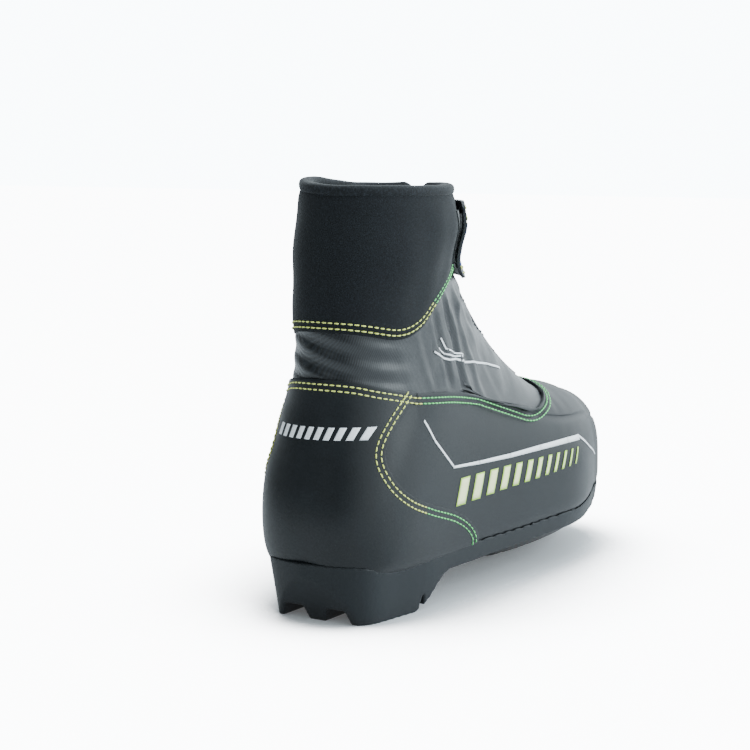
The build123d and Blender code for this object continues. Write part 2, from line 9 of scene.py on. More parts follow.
import bmesh
import bpy
import numpy as np
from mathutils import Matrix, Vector


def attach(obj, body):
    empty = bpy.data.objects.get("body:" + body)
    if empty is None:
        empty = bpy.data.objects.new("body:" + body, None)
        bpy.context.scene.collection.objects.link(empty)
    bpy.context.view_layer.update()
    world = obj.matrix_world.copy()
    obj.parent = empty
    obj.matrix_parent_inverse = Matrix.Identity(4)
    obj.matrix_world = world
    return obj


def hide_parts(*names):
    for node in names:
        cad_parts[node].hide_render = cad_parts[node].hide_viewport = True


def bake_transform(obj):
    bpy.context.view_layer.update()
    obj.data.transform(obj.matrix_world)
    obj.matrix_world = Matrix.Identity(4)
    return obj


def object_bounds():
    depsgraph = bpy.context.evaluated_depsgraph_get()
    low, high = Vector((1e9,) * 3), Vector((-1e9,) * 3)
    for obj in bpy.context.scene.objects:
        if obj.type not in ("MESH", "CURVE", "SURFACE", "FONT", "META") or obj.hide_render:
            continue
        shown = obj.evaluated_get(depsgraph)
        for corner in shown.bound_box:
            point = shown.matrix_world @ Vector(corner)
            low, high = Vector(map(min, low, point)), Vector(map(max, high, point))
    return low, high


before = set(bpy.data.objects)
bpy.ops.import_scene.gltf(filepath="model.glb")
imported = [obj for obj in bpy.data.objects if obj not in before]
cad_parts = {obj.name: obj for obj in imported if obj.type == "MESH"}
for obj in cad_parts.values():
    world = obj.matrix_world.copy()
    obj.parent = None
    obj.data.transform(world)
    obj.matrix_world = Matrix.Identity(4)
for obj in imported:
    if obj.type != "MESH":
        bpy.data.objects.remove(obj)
cad_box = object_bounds()

MM = 0.001
HEEL_Y = 140.5          # where forward = 0 lies on the Y axis
CENTRE_X = -3.0         # where side = 0 lies on the X axis


def place(forward, side, up):
    """Millimetres on the boot to millimetres in the row frame."""
    x, y = CENTRE_X - np.asarray(side, float), HEEL_Y - np.asarray(forward, float)
    return np.stack(np.broadcast_arrays(x, y, np.asarray(up, float)), axis=-1)


def on_boot(points):
    """The row frame's millimetres back to (forward, side, up)."""
    return np.stack([HEEL_Y - points[..., 1], CENTRE_X - points[..., 0], points[..., 2]], axis=-1)


# ---- camera ----

CAMERA_AT = (-737.0, 497.5, 232.2)
CAMERA_TURN, CAMERA_DOWN = math.radians(32.0), math.radians(7.14)
camera_data = bpy.data.cameras.new("camera")
camera_data.lens, camera_data.sensor_width = 91.2, 36.0
camera_data.clip_start, camera_data.clip_end = 0.05, 20.0
camera = bpy.data.objects.new("camera", camera_data)
bpy.context.scene.collection.objects.link(camera)
camera.location = Vector(place(*CAMERA_AT)) * MM
look = Vector((math.sin(CAMERA_TURN) * math.cos(CAMERA_DOWN), -math.cos(CAMERA_TURN) * math.cos(CAMERA_DOWN),
               -math.sin(CAMERA_DOWN)))
camera.rotation_euler = look.to_track_quat("-Z", "Y").to_euler()
bpy.context.scene.camera = camera

# ---- the upper's form, as in the CAD source ----

# Sections from the toe box to the top of the cuff: forward and up of the top point, forward and up
# of the bottom point, half width outside and inside, shift, share of the height above the widest
# line, roundness above and below it.
SECTIONS = np.array([
    (252, 88, 254, 26, 37, 42, -8, 0.62, 2.5, 6.0),
    (232, 94, 234, 24, 43, 45, -6, 0.63, 2.4, 6.0),
    (204, 98, 200, 22.5, 49, 47, -4, 0.67, 2.2, 6.0),
    (178, 110, 152, 22, 45, 42, -2, 0.69, 2.1, 6.0),
    (157, 126, 100, 21.5, 39, 38, 0, 0.71, 2.0, 6.0),
    (142, 140, 50, 20, 37, 40, 0, 0.71, 2.0, 5.5),
    (132, 151, 10, 21, 37, 43, 0, 0.66, 2.0, 3.6),
    (124, 160, -3, 48, 36, 42, 0, 0.62, 2.0, 2.5),
    (117, 170, 2, 80, 33, 36, 0, 0.56, 2.1, 2.3),
    (110, 179, 7, 108, 32, 32, 0, 0.53, 2.1, 2.2),
    (106, 187, 9, 136, 34, 32, 0, 0.50, 2.2, 2.2),
    (104, 196, 8, 170, 37, 32, 1, 0.50, 2.2, 2.2),
    (100, 208, 12, 209, 35, 29, 1, 0.50, 2.2, 2.2),
    (98, 226, 14, 227, 35, 29, 1, 0.50, 2.2, 2.2),
])
TOE_TIP = 284.0
TOE_DRIFT = -3.0
FINE = 12               # rows of the form's grid for each section
TOE_ROWS = 26
ROUND = 256             # points of each row
SMOOTHING = 10


def between_sections():
    """The section table with smooth rows between its own, which never run past their neighbours."""
    steps = np.diff(SECTIONS, axis=0)
    slopes = np.zeros_like(SECTIONS)
    before, after = steps[:-1], steps[1:]
    total = np.where(before * after > 0, before + after, 1.0)
    slopes[1:-1] = np.where(before * after > 0, 2 * before * after / total, 0.0)
    slopes[0], slopes[-1] = steps[0], steps[-1]
    rows = []
    for k in range(len(SECTIONS) - 1):
        for t in np.arange(FINE) / FINE:
            rows.append(
                SECTIONS[k] + (3 * t ** 2 - 2 * t ** 3) * steps[k]
                + (t ** 3 - 2 * t ** 2 + t) * slopes[k] + (t ** 3 - t ** 2) * slopes[k + 1])
    return np.array(rows + [SECTIONS[-1]])


def ring(row, thin=1.0, low=1.0, move=0.0, drift=0.0):
    """One row of the form: points at even steps from its top, down the outer side and up the inner."""
    top_f, top_z, low_f, low_z, outside, inside, shift, share, round_top, round_low = row
    height = math.hypot(top_f - low_f, top_z - low_z)
    up_f, up_z = (top_f - low_f) / height, (top_z - low_z) / height
    mid_f, mid_z = top_f - up_f * height * share, top_z - up_z * height * share
    half = 0.5 * math.pi * (1 - np.cos(np.linspace(0, math.pi, 241))) * 0.5
    quarter = np.concatenate([half, math.pi - half[::-1][1:]])
    sides = []
    for width, sign in ((outside, 1.0), (inside, -1.0)):
        c, s = np.cos(quarter), np.sin(quarter)
        power = 2.0 / np.where(c > 0, round_top, round_low)
        reach = np.where(c > 0, share, 1 - share) * height * low
        along = np.sign(c) * np.abs(c) ** power * reach
        across = np.abs(s) ** power * width * thin * sign
        points = place(mid_f + up_f * along + move, across + shift + drift, mid_z + up_z * along)
        travelled = np.concatenate([[0], np.cumsum(np.linalg.norm(np.diff(points, axis=0), axis=1))])
        even = np.linspace(0, travelled[-1], ROUND // 2 + 1)
        sides.append(np.stack([np.interp(even, travelled, points[:, k]) for k in range(3)], axis=-1))
    return np.concatenate([sides[0][:-1], sides[1][::-1][:-1]])


def build_form():
    """The form's grid of points: a rounded toe, then the sections' rows."""
    rows = between_sections()
    toe = []
    for k in range(TOE_ROWS, 0, -1):
        step = math.sin(0.5 * math.pi * k / TOE_ROWS)
        step = min(step, 0.99995)
        thin, low = (1 - step ** 2.2) ** (1 / 2.2), (1 - step ** 2.3) ** (1 / 2.3)
        toe.append(ring(rows[0], thin, low, (TOE_TIP - rows[0][0]) * step, TOE_DRIFT * step))
    grid = np.array(toe + [ring(row) for row in rows])
    for _ in range(SMOOTHING):
        grid[1:-1] = 0.25 * grid[:-2] + 0.5 * grid[1:-1] + 0.25 * grid[2:]
    return grid


FORM = build_form()
LAST = len(FORM) - 1


def cubic(t):
    """Weights of four neighbours for a smooth line through the middle two."""
    return np.stack([-0.5 * t ** 3 + t ** 2 - 0.5 * t, 1.5 * t ** 3 - 2.5 * t ** 2 + 1,
                     -1.5 * t ** 3 + 2 * t ** 2 + 0.5 * t, 0.5 * t ** 3 - 0.5 * t ** 2], axis=-1)


def surface(u, v):
    """Points of the form. u counts grid rows from the toe tip, and v goes once round from 0 to 1."""
    u, v = np.broadcast_arrays(np.asarray(u, float), np.asarray(v, float))
    u = np.clip(u, 0, LAST - 1e-6)
    w = (v % 1.0) * ROUND
    i, j = np.floor(u).astype(int), np.floor(w).astype(int)
    cu, cv = cubic(u - i), cubic(w - j)
    out = np.zeros(u.shape + (3,))
    for a in range(4):
        row = np.clip(i + a - 1, 0, LAST)
        for b in range(4):
            out += (cu[..., a] * cv[..., b])[..., None] * FORM[row, (j + b - 1) % ROUND]
    return out


def slopes_at(u, v):
    """How the form's points change with u and with v."""
    du = surface(u + 0.5, v) - surface(np.maximum(u - 0.5, 0), v)
    dv = surface(u, v + 0.5 / ROUND) - surface(u, v - 0.5 / ROUND)
    return du, dv * ROUND


def outward(u, v):
    """The form's outward directions."""
    du, dv = slopes_at(np.asarray(u, float), np.asarray(v, float))
    n = np.cross(du, dv)
    return n / np.maximum(np.linalg.norm(n, axis=-1, keepdims=True), 1e-9)


def lifted(u, v, lift):
    """Points that stand off the form."""
    return surface(u, v) + outward(u, v) * np.asarray(lift, float)[..., None]


def girth(u):
    """Length round a row of the form."""
    whole = np.linalg.norm(np.diff(FORM, axis=1, append=FORM[:, :1]), axis=2).sum(axis=1)
    return np.interp(u, np.arange(len(FORM)), whole)


# ---- seams in side view, as (forward, up) ----

CUFF_EDGE = [(-20, 143), (10, 140), (33, 136), (50, 140), (65, 150), (80, 158.5), (100, 165), (150, 172)]
QUARTER_TOP = [(-20, 120), (8, 118), (23, 114), (43, 109.5)]
VAMP_TOP = [
    (43, 109.5), (79, 106), (117, 99), (143, 90), (160, 86.3), (177, 88.5), (190, 92.5), (204, 98),
    (216, 106),
]
SEAM = [
    (43, 109.5), (28, 95), (20, 82), (23, 70), (34, 61), (52, 54), (77, 46), (92, 37), (99, 26),
    (101, 8), (102, -40),
]


def smooth_line(points, count=24):
    """A smooth line through points."""
    p = np.array(points, float)
    p = np.vstack([2 * p[0] - p[1], p, 2 * p[-1] - p[-2]])
    out = []
    for k in range(1, len(p) - 2):
        weights = cubic(np.arange(count) / count)
        out.append(weights @ p[k - 1:k + 3])
    return np.vstack(out + [p[-2][None]])


def height_line(points):
    """Function giving how far a (forward, up) point lies above a line that runs forward."""
    line = smooth_line(points)
    first, last = line[0], line[-1]
    rise = (line[-1] - line[-4])
    line = np.vstack([first - (100, 0), line, last + rise / np.linalg.norm(rise) * 200])
    return lambda f, z: z - np.interp(f, line[:, 0], line[:, 1])


def behind_line(points):
    """Function giving how far a point lies behind a line that runs down."""
    line = smooth_line(points)[::-1]
    return lambda f, z: np.interp(z, line[:, 1], line[:, 0]) - f


over_cuff_edge = height_line(CUFF_EDGE)
over_quarter = height_line(QUARTER_TOP)
over_vamp = height_line(VAMP_TOP)
behind_seam = behind_line(SEAM)
CORNER = (43.0, 109.5)


def over_leather(f, z):
    return np.where(f < CORNER[0], over_quarter(f, z), over_vamp(f, z))


FINE_U = np.linspace(0, LAST - 0.01, 1400)


def crossing(test, vs, start=0.0):
    """For each v, the u at which the test first turns positive, past start."""
    vs = np.asarray(vs, float)
    points = on_boot(surface(FINE_U[:, None], vs[None, :]))
    value = test(points[..., 0], points[..., 2])
    value[FINE_U < start] = -1.0
    positive = value > 0
    k = np.argmax(positive, axis=0)
    k = np.where(positive.any(axis=0), np.maximum(k, 1), len(FINE_U) - 1)
    j = np.arange(len(vs))
    low, high = value[k - 1, j], value[k, j]
    t = np.clip(low / np.where(np.abs(low - high) > 1e-9, low - high, 1.0), 0, 1)
    return FINE_U[k - 1] + t * (FINE_U[k] - FINE_U[k - 1])


def corner_v(side):
    """The v of the corner where quarter, vamp and cover meet, on one side of the boot."""
    vs = np.linspace(0.06, 0.46, 400) if side > 0 else np.linspace(0.94, 0.54, 400)
    u = crossing(over_leather, vs)
    f = on_boot(surface(u, vs))[:, 0]
    return float(np.interp(-CORNER[0], -f, vs)) if f[0] > f[-1] else float(np.interp(CORNER[0], f, vs))


CORNER_OUT, CORNER_IN = corner_v(1), corner_v(-1)


GRID_POINTS = on_boot(FORM)


def on_side(across, up, sign, by="forward"):
    """The u and v of the form's points at given forward (or side) and up, on one side of the boot."""
    across, up = np.asarray(across, float).ravel(), np.asarray(up, float).ravel()
    axis = 0 if by == "forward" else 1
    if by == "forward":
        allowed = (GRID_POINTS[..., 1] - np.median(GRID_POINTS[..., 1], axis=1)[:, None]) * sign > 0
    else:
        allowed = GRID_POINTS[..., 0] < 60
    rows, columns = np.nonzero(allowed)
    near = GRID_POINTS[rows, columns][:, [axis, 2]]
    pick = np.array([np.argmin((near[:, 0] - a) ** 2 + (near[:, 1] - z) ** 2) for a, z in zip(across, up)])
    us, vs = rows[pick].astype(float), columns[pick] / ROUND
    for _ in range(6):
        du, dv = slopes_at(us, vs)
        at = on_boot(surface(us, vs))
        miss_a, miss_z = across - at[:, axis], up - at[:, 2]
        a, b = -du[:, 1 - axis], -dv[:, 1 - axis]
        c, d = du[:, 2], dv[:, 2]
        det = a * d - b * c
        det = np.where(np.abs(det) > 1e-6, det, 1e-6)
        us = np.clip(us + np.clip((d * miss_a - b * miss_z) / det, -3, 3), 0.5, LAST - 1)
        vs = vs + np.clip((a * miss_z - c * miss_a) / det, -0.02, 0.02)
    return us, vs


# ---- meshes ----

def new_object(name, points, faces, material, body, replaces=()):
    """A mesh object from points in the row frame's millimetres."""
    mesh = bpy.data.meshes.new(name)
    mesh.from_pydata((np.asarray(points).reshape(-1, 3) * MM).tolist(), [], faces)
    mesh.validate()
    mesh.shade_smooth()
    obj = bpy.data.objects.new(name, mesh)
    bpy.context.scene.collection.objects.link(obj)
    if material:
        mesh.materials.append(material)
    if body:
        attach(obj, body)
    if replaces:
        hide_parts(*replaces)
    return obj


def grid_faces(rows, columns, close_columns=False):
    """The faces of a grid of points, which may be closed round its columns."""
    faces = []
    for i in range(rows - 1):
        for j in range(columns if close_columns else columns - 1):
            k = (j + 1) % columns
            faces.append((i * columns + j, (i + 1) * columns + j, (i + 1) * columns + k, i * columns + k))
    return faces


def thicken(obj, thickness, rounding=0.35):
    """Gives a sheet its thickness, inwards, and rounds its edges."""
    solid = obj.modifiers.new("thickness", "SOLIDIFY")
    solid.thickness = thickness * MM
    solid.offset = -1.0
    if rounding:
        round_off = obj.modifiers.new("edges", "BEVEL")
        round_off.width = rounding * MM
        round_off.segments = 2
        round_off.limit_method = "ANGLE"
        round_off.angle_limit = math.radians(50)


def clipped(points, faces, values):
    """The part of a mesh where the values at its points are positive, cut through its faces."""
    points = list(np.asarray(points).reshape(-1, 3))
    values = np.asarray(values, float).ravel()
    cuts, kept = {}, []
    for face in faces:
        if all(values[k] < 0 for k in face):
            continue
        if all(values[k] >= 0 for k in face):
            kept.append(face)
            continue
        ring_of = []
        for a, b in zip(face, face[1:] + face[:1]):
            if values[a] >= 0:
                ring_of.append(a)
            if (values[a] >= 0) != (values[b] >= 0):
                key = (min(a, b), max(a, b))
                if key not in cuts:
                    t = values[key[0]] / (values[key[0]] - values[key[1]])
                    points.append(points[key[0]] + t * (points[key[1]] - points[key[0]]))
                    cuts[key] = len(points) - 1
                ring_of.append(cuts[key])
        kept.append(tuple(ring_of))
    used = sorted({k for face in kept for k in face})
    number = {k: n for n, k in enumerate(used)}
    return np.array([points[k] for k in used]), [tuple(number[k] for k in face) for face in kept]


def merged(obj, distance):
    """Joins points that lie very close together, as slivers along a cut do."""
    data = bmesh.new()
    data.from_mesh(obj.data)
    bmesh.ops.remove_doubles(data, verts=data.verts[:], dist=distance * MM)
    data.to_mesh(obj.data)
    data.free()


def soften(obj, times):
    """Evens out a sheet, all but its border."""
    data = bmesh.new()
    data.from_mesh(obj.data)
    inner = [vertex for vertex in data.verts if not vertex.is_boundary]
    for _ in range(times):
        bmesh.ops.smooth_vert(data, verts=inner, factor=0.5,
                              use_axis_x=True, use_axis_y=True, use_axis_z=True)
    data.to_mesh(obj.data)
    data.free()


def panel(name, low, high, vs, rows, lift, thickness, material, replaces=(), shape=None, closed=False,
          rounding=0.35, keep=None, smoothing=0, from_tip=False):
    """A sewn panel between two lines of u, at a lift over the form, with a thickness inwards."""
    t = np.linspace(0, 1, rows)[:, None]
    u = low[None, :] + t * (high - low)[None, :]
    v = np.broadcast_to(vs[None, :], u.shape)
    rise = np.full(u.shape, float(lift))
    if shape is not None:
        rise = rise + shape(u, v, t)
    points, faces = lifted(u, v, rise), grid_faces(rows, len(vs), closed)
    if from_tip:
        points[0] = points[0].mean(axis=0)
    if keep is not None:
        points, faces = clipped(points, faces, keep(on_boot(surface(u, v))))
    obj = new_object(name, points, faces, material, "boot", replaces)
    if keep is not None:
        merged(obj, 0.3)
    soften(obj, smoothing)
    thicken(obj, thickness, rounding)
    return obj


# ---- materials ----

def shader(name, colour, roughness, metallic=0.0, sheen=0.0, coat=0.0, coat_roughness=0.2, specular=0.5):
    """A material with its principled shader, returned with its nodes and links for adding more."""
    material = bpy.data.materials.new(name)
    material.use_nodes = True
    nodes, links = material.node_tree.nodes, material.node_tree.links
    principled = nodes["Principled BSDF"]
    principled.inputs["Base Color"].default_value = (*colour, 1)
    principled.inputs["Roughness"].default_value = roughness
    principled.inputs["Metallic"].default_value = metallic
    principled.inputs["Sheen Weight"].default_value = sheen
    principled.inputs["Sheen Roughness"].default_value = 0.4
    principled.inputs["Coat Weight"].default_value = coat
    principled.inputs["Coat Roughness"].default_value = coat_roughness
    principled.inputs["Specular IOR Level"].default_value = specular
    return material, nodes, links, principled


def position(nodes, links, scale=(1, 1, 1), turn=(0, 0, 0)):
    """Object coordinates, which are the row frame's metres, scaled and turned."""
    source = nodes.new("ShaderNodeTexCoord")
    mapping = nodes.new("ShaderNodeMapping")
    mapping.inputs["Scale"].default_value = scale
    mapping.inputs["Rotation"].default_value = turn
    links.new(source.outputs["Object"], mapping.inputs["Vector"])
    return mapping.outputs["Vector"]


def noise(nodes, links, vector, scale, detail=3.0, rough=0.5, distortion=0.0):
    node = nodes.new("ShaderNodeTexNoise")
    node.inputs["Scale"].default_value = scale
    node.inputs["Detail"].default_value = detail
    node.inputs["Roughness"].default_value = rough
    node.inputs["Distortion"].default_value = distortion
    links.new(vector, node.inputs["Vector"])
    return node.outputs["Fac"]


def cells(nodes, links, vector, scale, feature="F1"):
    node = nodes.new("ShaderNodeTexVoronoi")
    node.feature = feature
    node.inputs["Scale"].default_value = scale
    links.new(vector, node.inputs["Vector"])
    return node.outputs["Distance"]


def stripes(nodes, links, vector, scale, distortion=0.0, direction="X", detail_scale=1.0):
    node = nodes.new("ShaderNodeTexWave")
    node.wave_type = "BANDS"
    node.bands_direction = direction
    node.inputs["Scale"].default_value = scale
    node.inputs["Distortion"].default_value = distortion
    node.inputs["Detail"].default_value = 1.0
    node.inputs["Detail Scale"].default_value = detail_scale
    links.new(vector, node.inputs["Vector"])
    return node.outputs["Fac"]


def ramp(nodes, links, factor, *stops):
    node = nodes.new("ShaderNodeValToRGB")
    while len(node.color_ramp.elements) < len(stops):
        node.color_ramp.elements.new(0.5)
    for element, (at, colour) in zip(node.color_ramp.elements, stops):
        element.position = at
        element.color = (*colour, 1)
    links.new(factor, node.inputs["Fac"])
    return node.outputs["Color"]


def combine(nodes, links, a, b, how="ADD"):
    node = nodes.new("ShaderNodeMath")
    node.operation = how
    for k, value in enumerate((a, b)):
        if isinstance(value, (int, float)):
            node.inputs[k].default_value = value
        else:
            links.new(value, node.inputs[k])
    return node.outputs[0]


def spread(nodes, links, value, low, high):
    """A 0 to 1 value spread over a range."""
    node = nodes.new("ShaderNodeMapRange")
    node.inputs["To Min"].default_value = low
    node.inputs["To Max"].default_value = high
    links.new(value, node.inputs["Value"])
    return node.outputs["Result"]


def bump(nodes, links, principled, layers):
    """Bump from (height, strength, distance in mm) layers, one on another."""
    before = None
    for height, strength, distance in layers:
        node = nodes.new("ShaderNodeBump")
        node.inputs["Strength"].default_value = strength
        node.inputs["Distance"].default_value = distance * MM
        links.new(height, node.inputs["Height"])
        if before is not None:
            links.new(before, node.inputs["Normal"])
        before = node.outputs["Normal"]
    links.new(before, principled.inputs["Normal"])


def leather(name, dark, light, roughness=(0.34, 0.47)):
    """Coated leather: fine cells of grain, a slow change of shade, and a semi-gloss."""
    material, nodes, links, principled = shader(name, dark, 0.45, specular=0.33)
    vector = position(nodes, links)
    grain = cells(nodes, links, vector, 1500, "SMOOTH_F1")
    fine = noise(nodes, links, vector, 2600, 2.0)
    slow = noise(nodes, links, vector, 45, 4.0, 0.6)
    links.new(ramp(nodes, links, slow, (0.3, dark), (0.7, light)), principled.inputs["Base Color"])
    links.new(spread(nodes, links, slow, *roughness), principled.inputs["Roughness"])
    bump(nodes, links, principled, [(slow, 0.12, 0.5), (grain, 0.35, 0.12), (fine, 0.12, 0.06)])
    return material


def knit(name, dark, light, pitch, roughness=0.9, sheen=0.25, stretch=(1, 1, 1)):
    """A knitted face: crossed fine ribs with a speckle of lighter yarn."""
    material, nodes, links, principled = shader(name, dark, roughness, sheen=sheen, specular=0.3)
    vector = position(nodes, links, stretch)
    up = stripes(nodes, links, vector, 0.314 / (pitch * MM), 1.0, "Z", 300)
    across = stripes(nodes, links, vector, 0.314 / (pitch * MM), 1.0, "DIAGONAL", 300)
    speckle = noise(nodes, links, vector, 1.1 / (pitch * MM), 2.0, 0.7)
    links.new(ramp(nodes, links, speckle, (0.44, dark), (0.72, light)), principled.inputs["Base Color"])
    weave = combine(nodes, links, up, across, "MULTIPLY")
    bump(nodes, links, principled, [(weave, 0.35, 0.15), (speckle, 0.3, 0.1)])
    return material


def ribbed_cloth(name, dark, light, pitch, turn, roughness=0.32, coat=0.25):
    """Coated cloth with a metallic sheen and fine parallel ribs."""
    material, nodes, links, principled = shader(name, dark, roughness, metallic=0.35, coat=coat,
                                                coat_roughness=0.27)
    vector = position(nodes, links, turn=turn)
    ribs = stripes(nodes, links, vector, 0.314 / (pitch * MM), 0.6, "Y", 60)
    slow = noise(nodes, links, vector, 60, 3.0)
    fine = noise(nodes, links, vector, 1800, 2.0)
    links.new(ramp(nodes, links, ribs, (0.15, dark), (0.85, light)), principled.inputs["Base Color"])
    links.new(spread(nodes, links, slow, roughness - 0.06, roughness + 0.14), principled.inputs["Roughness"])
    bump(nodes, links, principled, [(slow, 0.2, 1.0), (ribs, 0.5, 0.18), (fine, 0.15, 0.05)])
    return material


def rubber(name, dark, light, roughness=0.55):
    material, nodes, links, principled = shader(name, dark, roughness, specular=0.3)
    vector = position(nodes, links)
    fine = noise(nodes, links, vector, 1400, 3.0, 0.6)
    slow = noise(nodes, links, vector, 25, 4.0)
    links.new(ramp(nodes, links, slow, (0.3, dark), (0.7, light)), principled.inputs["Base Color"])
    links.new(spread(nodes, links, slow, roughness - 0.07, roughness + 0.12), principled.inputs["Roughness"])
    bump(nodes, links, principled, [(fine, 0.18, 0.08), (slow, 0.05, 0.5)])
    return material


def metal(name, dark, light, roughness=0.3, brushed=(1, 1, 1)):
    material, nodes, links, principled = shader(name, dark, roughness, metallic=1.0)
    vector = position(nodes, links, brushed)
    streak = noise(nodes, links, vector, 900, 3.0)
    links.new(ramp(nodes, links, streak, (0.3, dark), (0.7, light)), principled.inputs["Base Color"])
    rough = spread(nodes, links, streak, roughness - 0.06, roughness + 0.12)
    links.new(rough, principled.inputs["Roughness"])
    bump(nodes, links, principled, [(streak, 0.08, 0.03)])
    return material


def enamel(name, dark, light, roughness=0.35):
    material, nodes, links, principled = shader(name, dark, roughness, coat=0.3)
    vector = position(nodes, links)
    wear = noise(nodes, links, vector, 700, 4.0)
    links.new(ramp(nodes, links, wear, (0.35, dark), (0.75, light)), principled.inputs["Base Color"])
    links.new(spread(nodes, links, wear, roughness - 0.05, roughness + 0.15), principled.inputs["Roughness"])
    bump(nodes, links, principled, [(wear, 0.1, 0.04)])
    return material


def printed(name, colour, shade):
    """A thin plastic print with a slightly uneven face."""
    material, nodes, links, principled = shader(name, colour, 0.4)
    vector = position(nodes, links)
    fine = noise(nodes, links, vector, 1500, 2.0)
    links.new(ramp(nodes, links, fine, (0.3, shade), (0.6, colour)), principled.inputs["Base Color"])
    bump(nodes, links, principled, [(fine, 0.15, 0.05)])
    return material


def thread(name, colour, shade):
    """Twisted sewing thread."""
    material, nodes, links, principled = shader(name, colour, 0.55, sheen=0.3)
    vector = position(nodes, links, turn=(0.6, 0.6, 0.3))
    twist = stripes(nodes, links, vector, 550, 0.0)
    links.new(ramp(nodes, links, twist, (0.1, shade), (0.6, colour)), principled.inputs["Base Color"])
    bump(nodes, links, principled, [(twist, 0.4, 0.08)])
    return material


LEATHER = leather("coated_leather", (0.0030, 0.0042, 0.0054), (0.0052, 0.0071, 0.0090))
NEOPRENE = knit("cuff_jersey", (0.0018, 0.0025, 0.0033), (0.0115, 0.015, 0.020), 0.55, sheen=0.12)
COVER = ribbed_cloth("ribbed_cover", (0.0022, 0.0030, 0.0038), (0.009, 0.0118, 0.015), 0.95,
                     (-0.35, 0.0, 0.25), 0.34, 0.5)
LINING = knit("lining_knit", (0.010, 0.011, 0.013), (0.035, 0.038, 0.042), 0.9)
BINDING = knit("binding_braid", (0.003, 0.004, 0.0052), (0.016, 0.0195, 0.025), 1.1, 0.85, 0.15, (1, 1, 0.6))
STRAP = ribbed_cloth("strap_cloth", (0.008, 0.010, 0.0125), (0.022, 0.027, 0.033), 0.9, (0.2, 0.9, 0.4), 0.42)
RUBBER = rubber("sole_rubber", (0.0048, 0.0064, 0.0080), (0.0080, 0.0106, 0.0132), 0.48)
STEEL = metal("turned_steel", (0.45, 0.45, 0.46), (0.62, 0.62, 0.63), 0.28, (1, 8, 8))
ENAMEL = enamel("black_enamel", (0.016, 0.017, 0.019), (0.035, 0.037, 0.040))
TAPE = knit("zip_tape_weave", (0.012, 0.013, 0.015), (0.035, 0.038, 0.043), 0.5)
TEETH = enamel("zip_teeth_plastic", (0.020, 0.021, 0.024), (0.045, 0.047, 0.052), 0.4)
YELLOW = thread("thread_lime", (0.86, 0.92, 0.22), (0.55, 0.62, 0.12))
GREEN = thread("thread_green", (0.16, 0.80, 0.22), (0.08, 0.48, 0.12))
DARK_THREAD = thread("thread_black", (0.02, 0.022, 0.026), (0.008, 0.009, 0.010))
WHITE_PRINT = printed("white_print", (0.95, 0.96, 0.98), (0.85, 0.87, 0.90))
LIME_PRINT = printed("lime_print", (0.90, 0.96, 0.52), (0.80, 0.88, 0.42))
GREEN_PRINT = printed("green_print", (0.50, 0.80, 0.10), (0.42, 0.70, 0.08))
FIBRE = leather("fibre_board", (0.30, 0.23, 0.15), (0.38, 0.30, 0.20), (0.7, 0.85))
SHEET_PLASTIC = rubber("stiffener_sheet", (0.30, 0.29, 0.27), (0.38, 0.37, 0.34))
FOAM = rubber("filler_foam", (0.22, 0.20, 0.18), (0.30, 0.28, 0.25), 0.8)
HOOKS = knit("hook_and_loop", (0.012, 0.013, 0.014), (0.05, 0.055, 0.06), 1.4, 0.95, 0.5)
LABEL = knit("label_weave", (0.05, 0.08, 0.28), (0.16, 0.22, 0.50), 0.35, 0.6)
FOOTBED = knit("footbed_cover", (0.030, 0.033, 0.038), (0.07, 0.076, 0.085), 0.8)

CAD_MATERIALS = {
    "outsole": RUBBER, "toe_bar": STEEL, "toe_bar_bracket": STEEL, "shank": STEEL, "lasting_board": FIBRE,
    "bottom_filler": FOAM, "heel_counter": SHEET_PLASTIC, "toe_puff": SHEET_PLASTIC,
    "eyestay_lateral": LEATHER, "eyestay_medial": LEATHER, "eyelets": ENAMEL, "zip_tape_lateral": TAPE, "zip_tape_medial": TAPE,
    "zip_teeth_lateral": TEETH, "zip_teeth_medial": TEETH, "zip_stops": ENAMEL, "zip_slider": ENAMEL,
    "zip_pull": ENAMEL, "footbed": FOOTBED, "tongue": LINING, "lining": LINING,
}
for node, material in CAD_MATERIALS.items():
    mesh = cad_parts[node].data
    mesh.materials.clear()
    mesh.materials.append(material)


# ---- the sewn panels ----

AROUND = 320            # points round a closed panel
loop = np.arange(AROUND) / AROUND
loop = np.sort(np.concatenate([loop, [CORNER_OUT, CORNER_IN]]))


def smooth_step(x, low, high):
    """A smooth rise from 0 at low to 1 at high."""
    t = np.clip((np.asarray(x, float) - low) / (high - low), 0, 1)
    return t * t * (3 - 2 * t)


def ripple(x, *waves):
    """A sum of sines from (size, waves per unit, phase) triples."""
    return sum(size * np.sin(2 * math.pi * (rate * x + phase)) for size, rate, phase in waves)


top_of_leather = crossing(over_leather, loop)


def ahead_of_seam(p, under=3.0):
    """How far points lie ahead of the quarter's seam, with a strip to run on under the quarter."""
    return under - behind_seam(p[..., 0], p[..., 2])


# vamp: from the toe tip back to the quarter's seam, where it runs on under the quarter
def vamp_shape(u, v, t):
    """Faint flex creases across the ball of the foot, and a raised collar edge."""
    place_on = on_boot(surface(u, v))
    f, z = place_on[..., 0], place_on[..., 2]
    ball = np.exp(-((f - 192) / 16) ** 2) * smooth_step(z, 55, 85)
    crease = ripple(f + 0.25 * place_on[..., 1], (0.28, 1 / 13.0, 0.1), (0.16, 1 / 8.3, 0.4)) * ball
    collar = 0.9 * smooth_step(t, 0.93, 1.0) * (f > 43)
    return crease + collar * smooth_step(z, 60, 80)


panel("vamp_leather", np.full(loop.shape, 0.004), top_of_leather, loop, 170, 0.0, 1.6, LEATHER,
      ("vamp",), vamp_shape, closed=True, keep=ahead_of_seam, smoothing=10, from_tip=True)

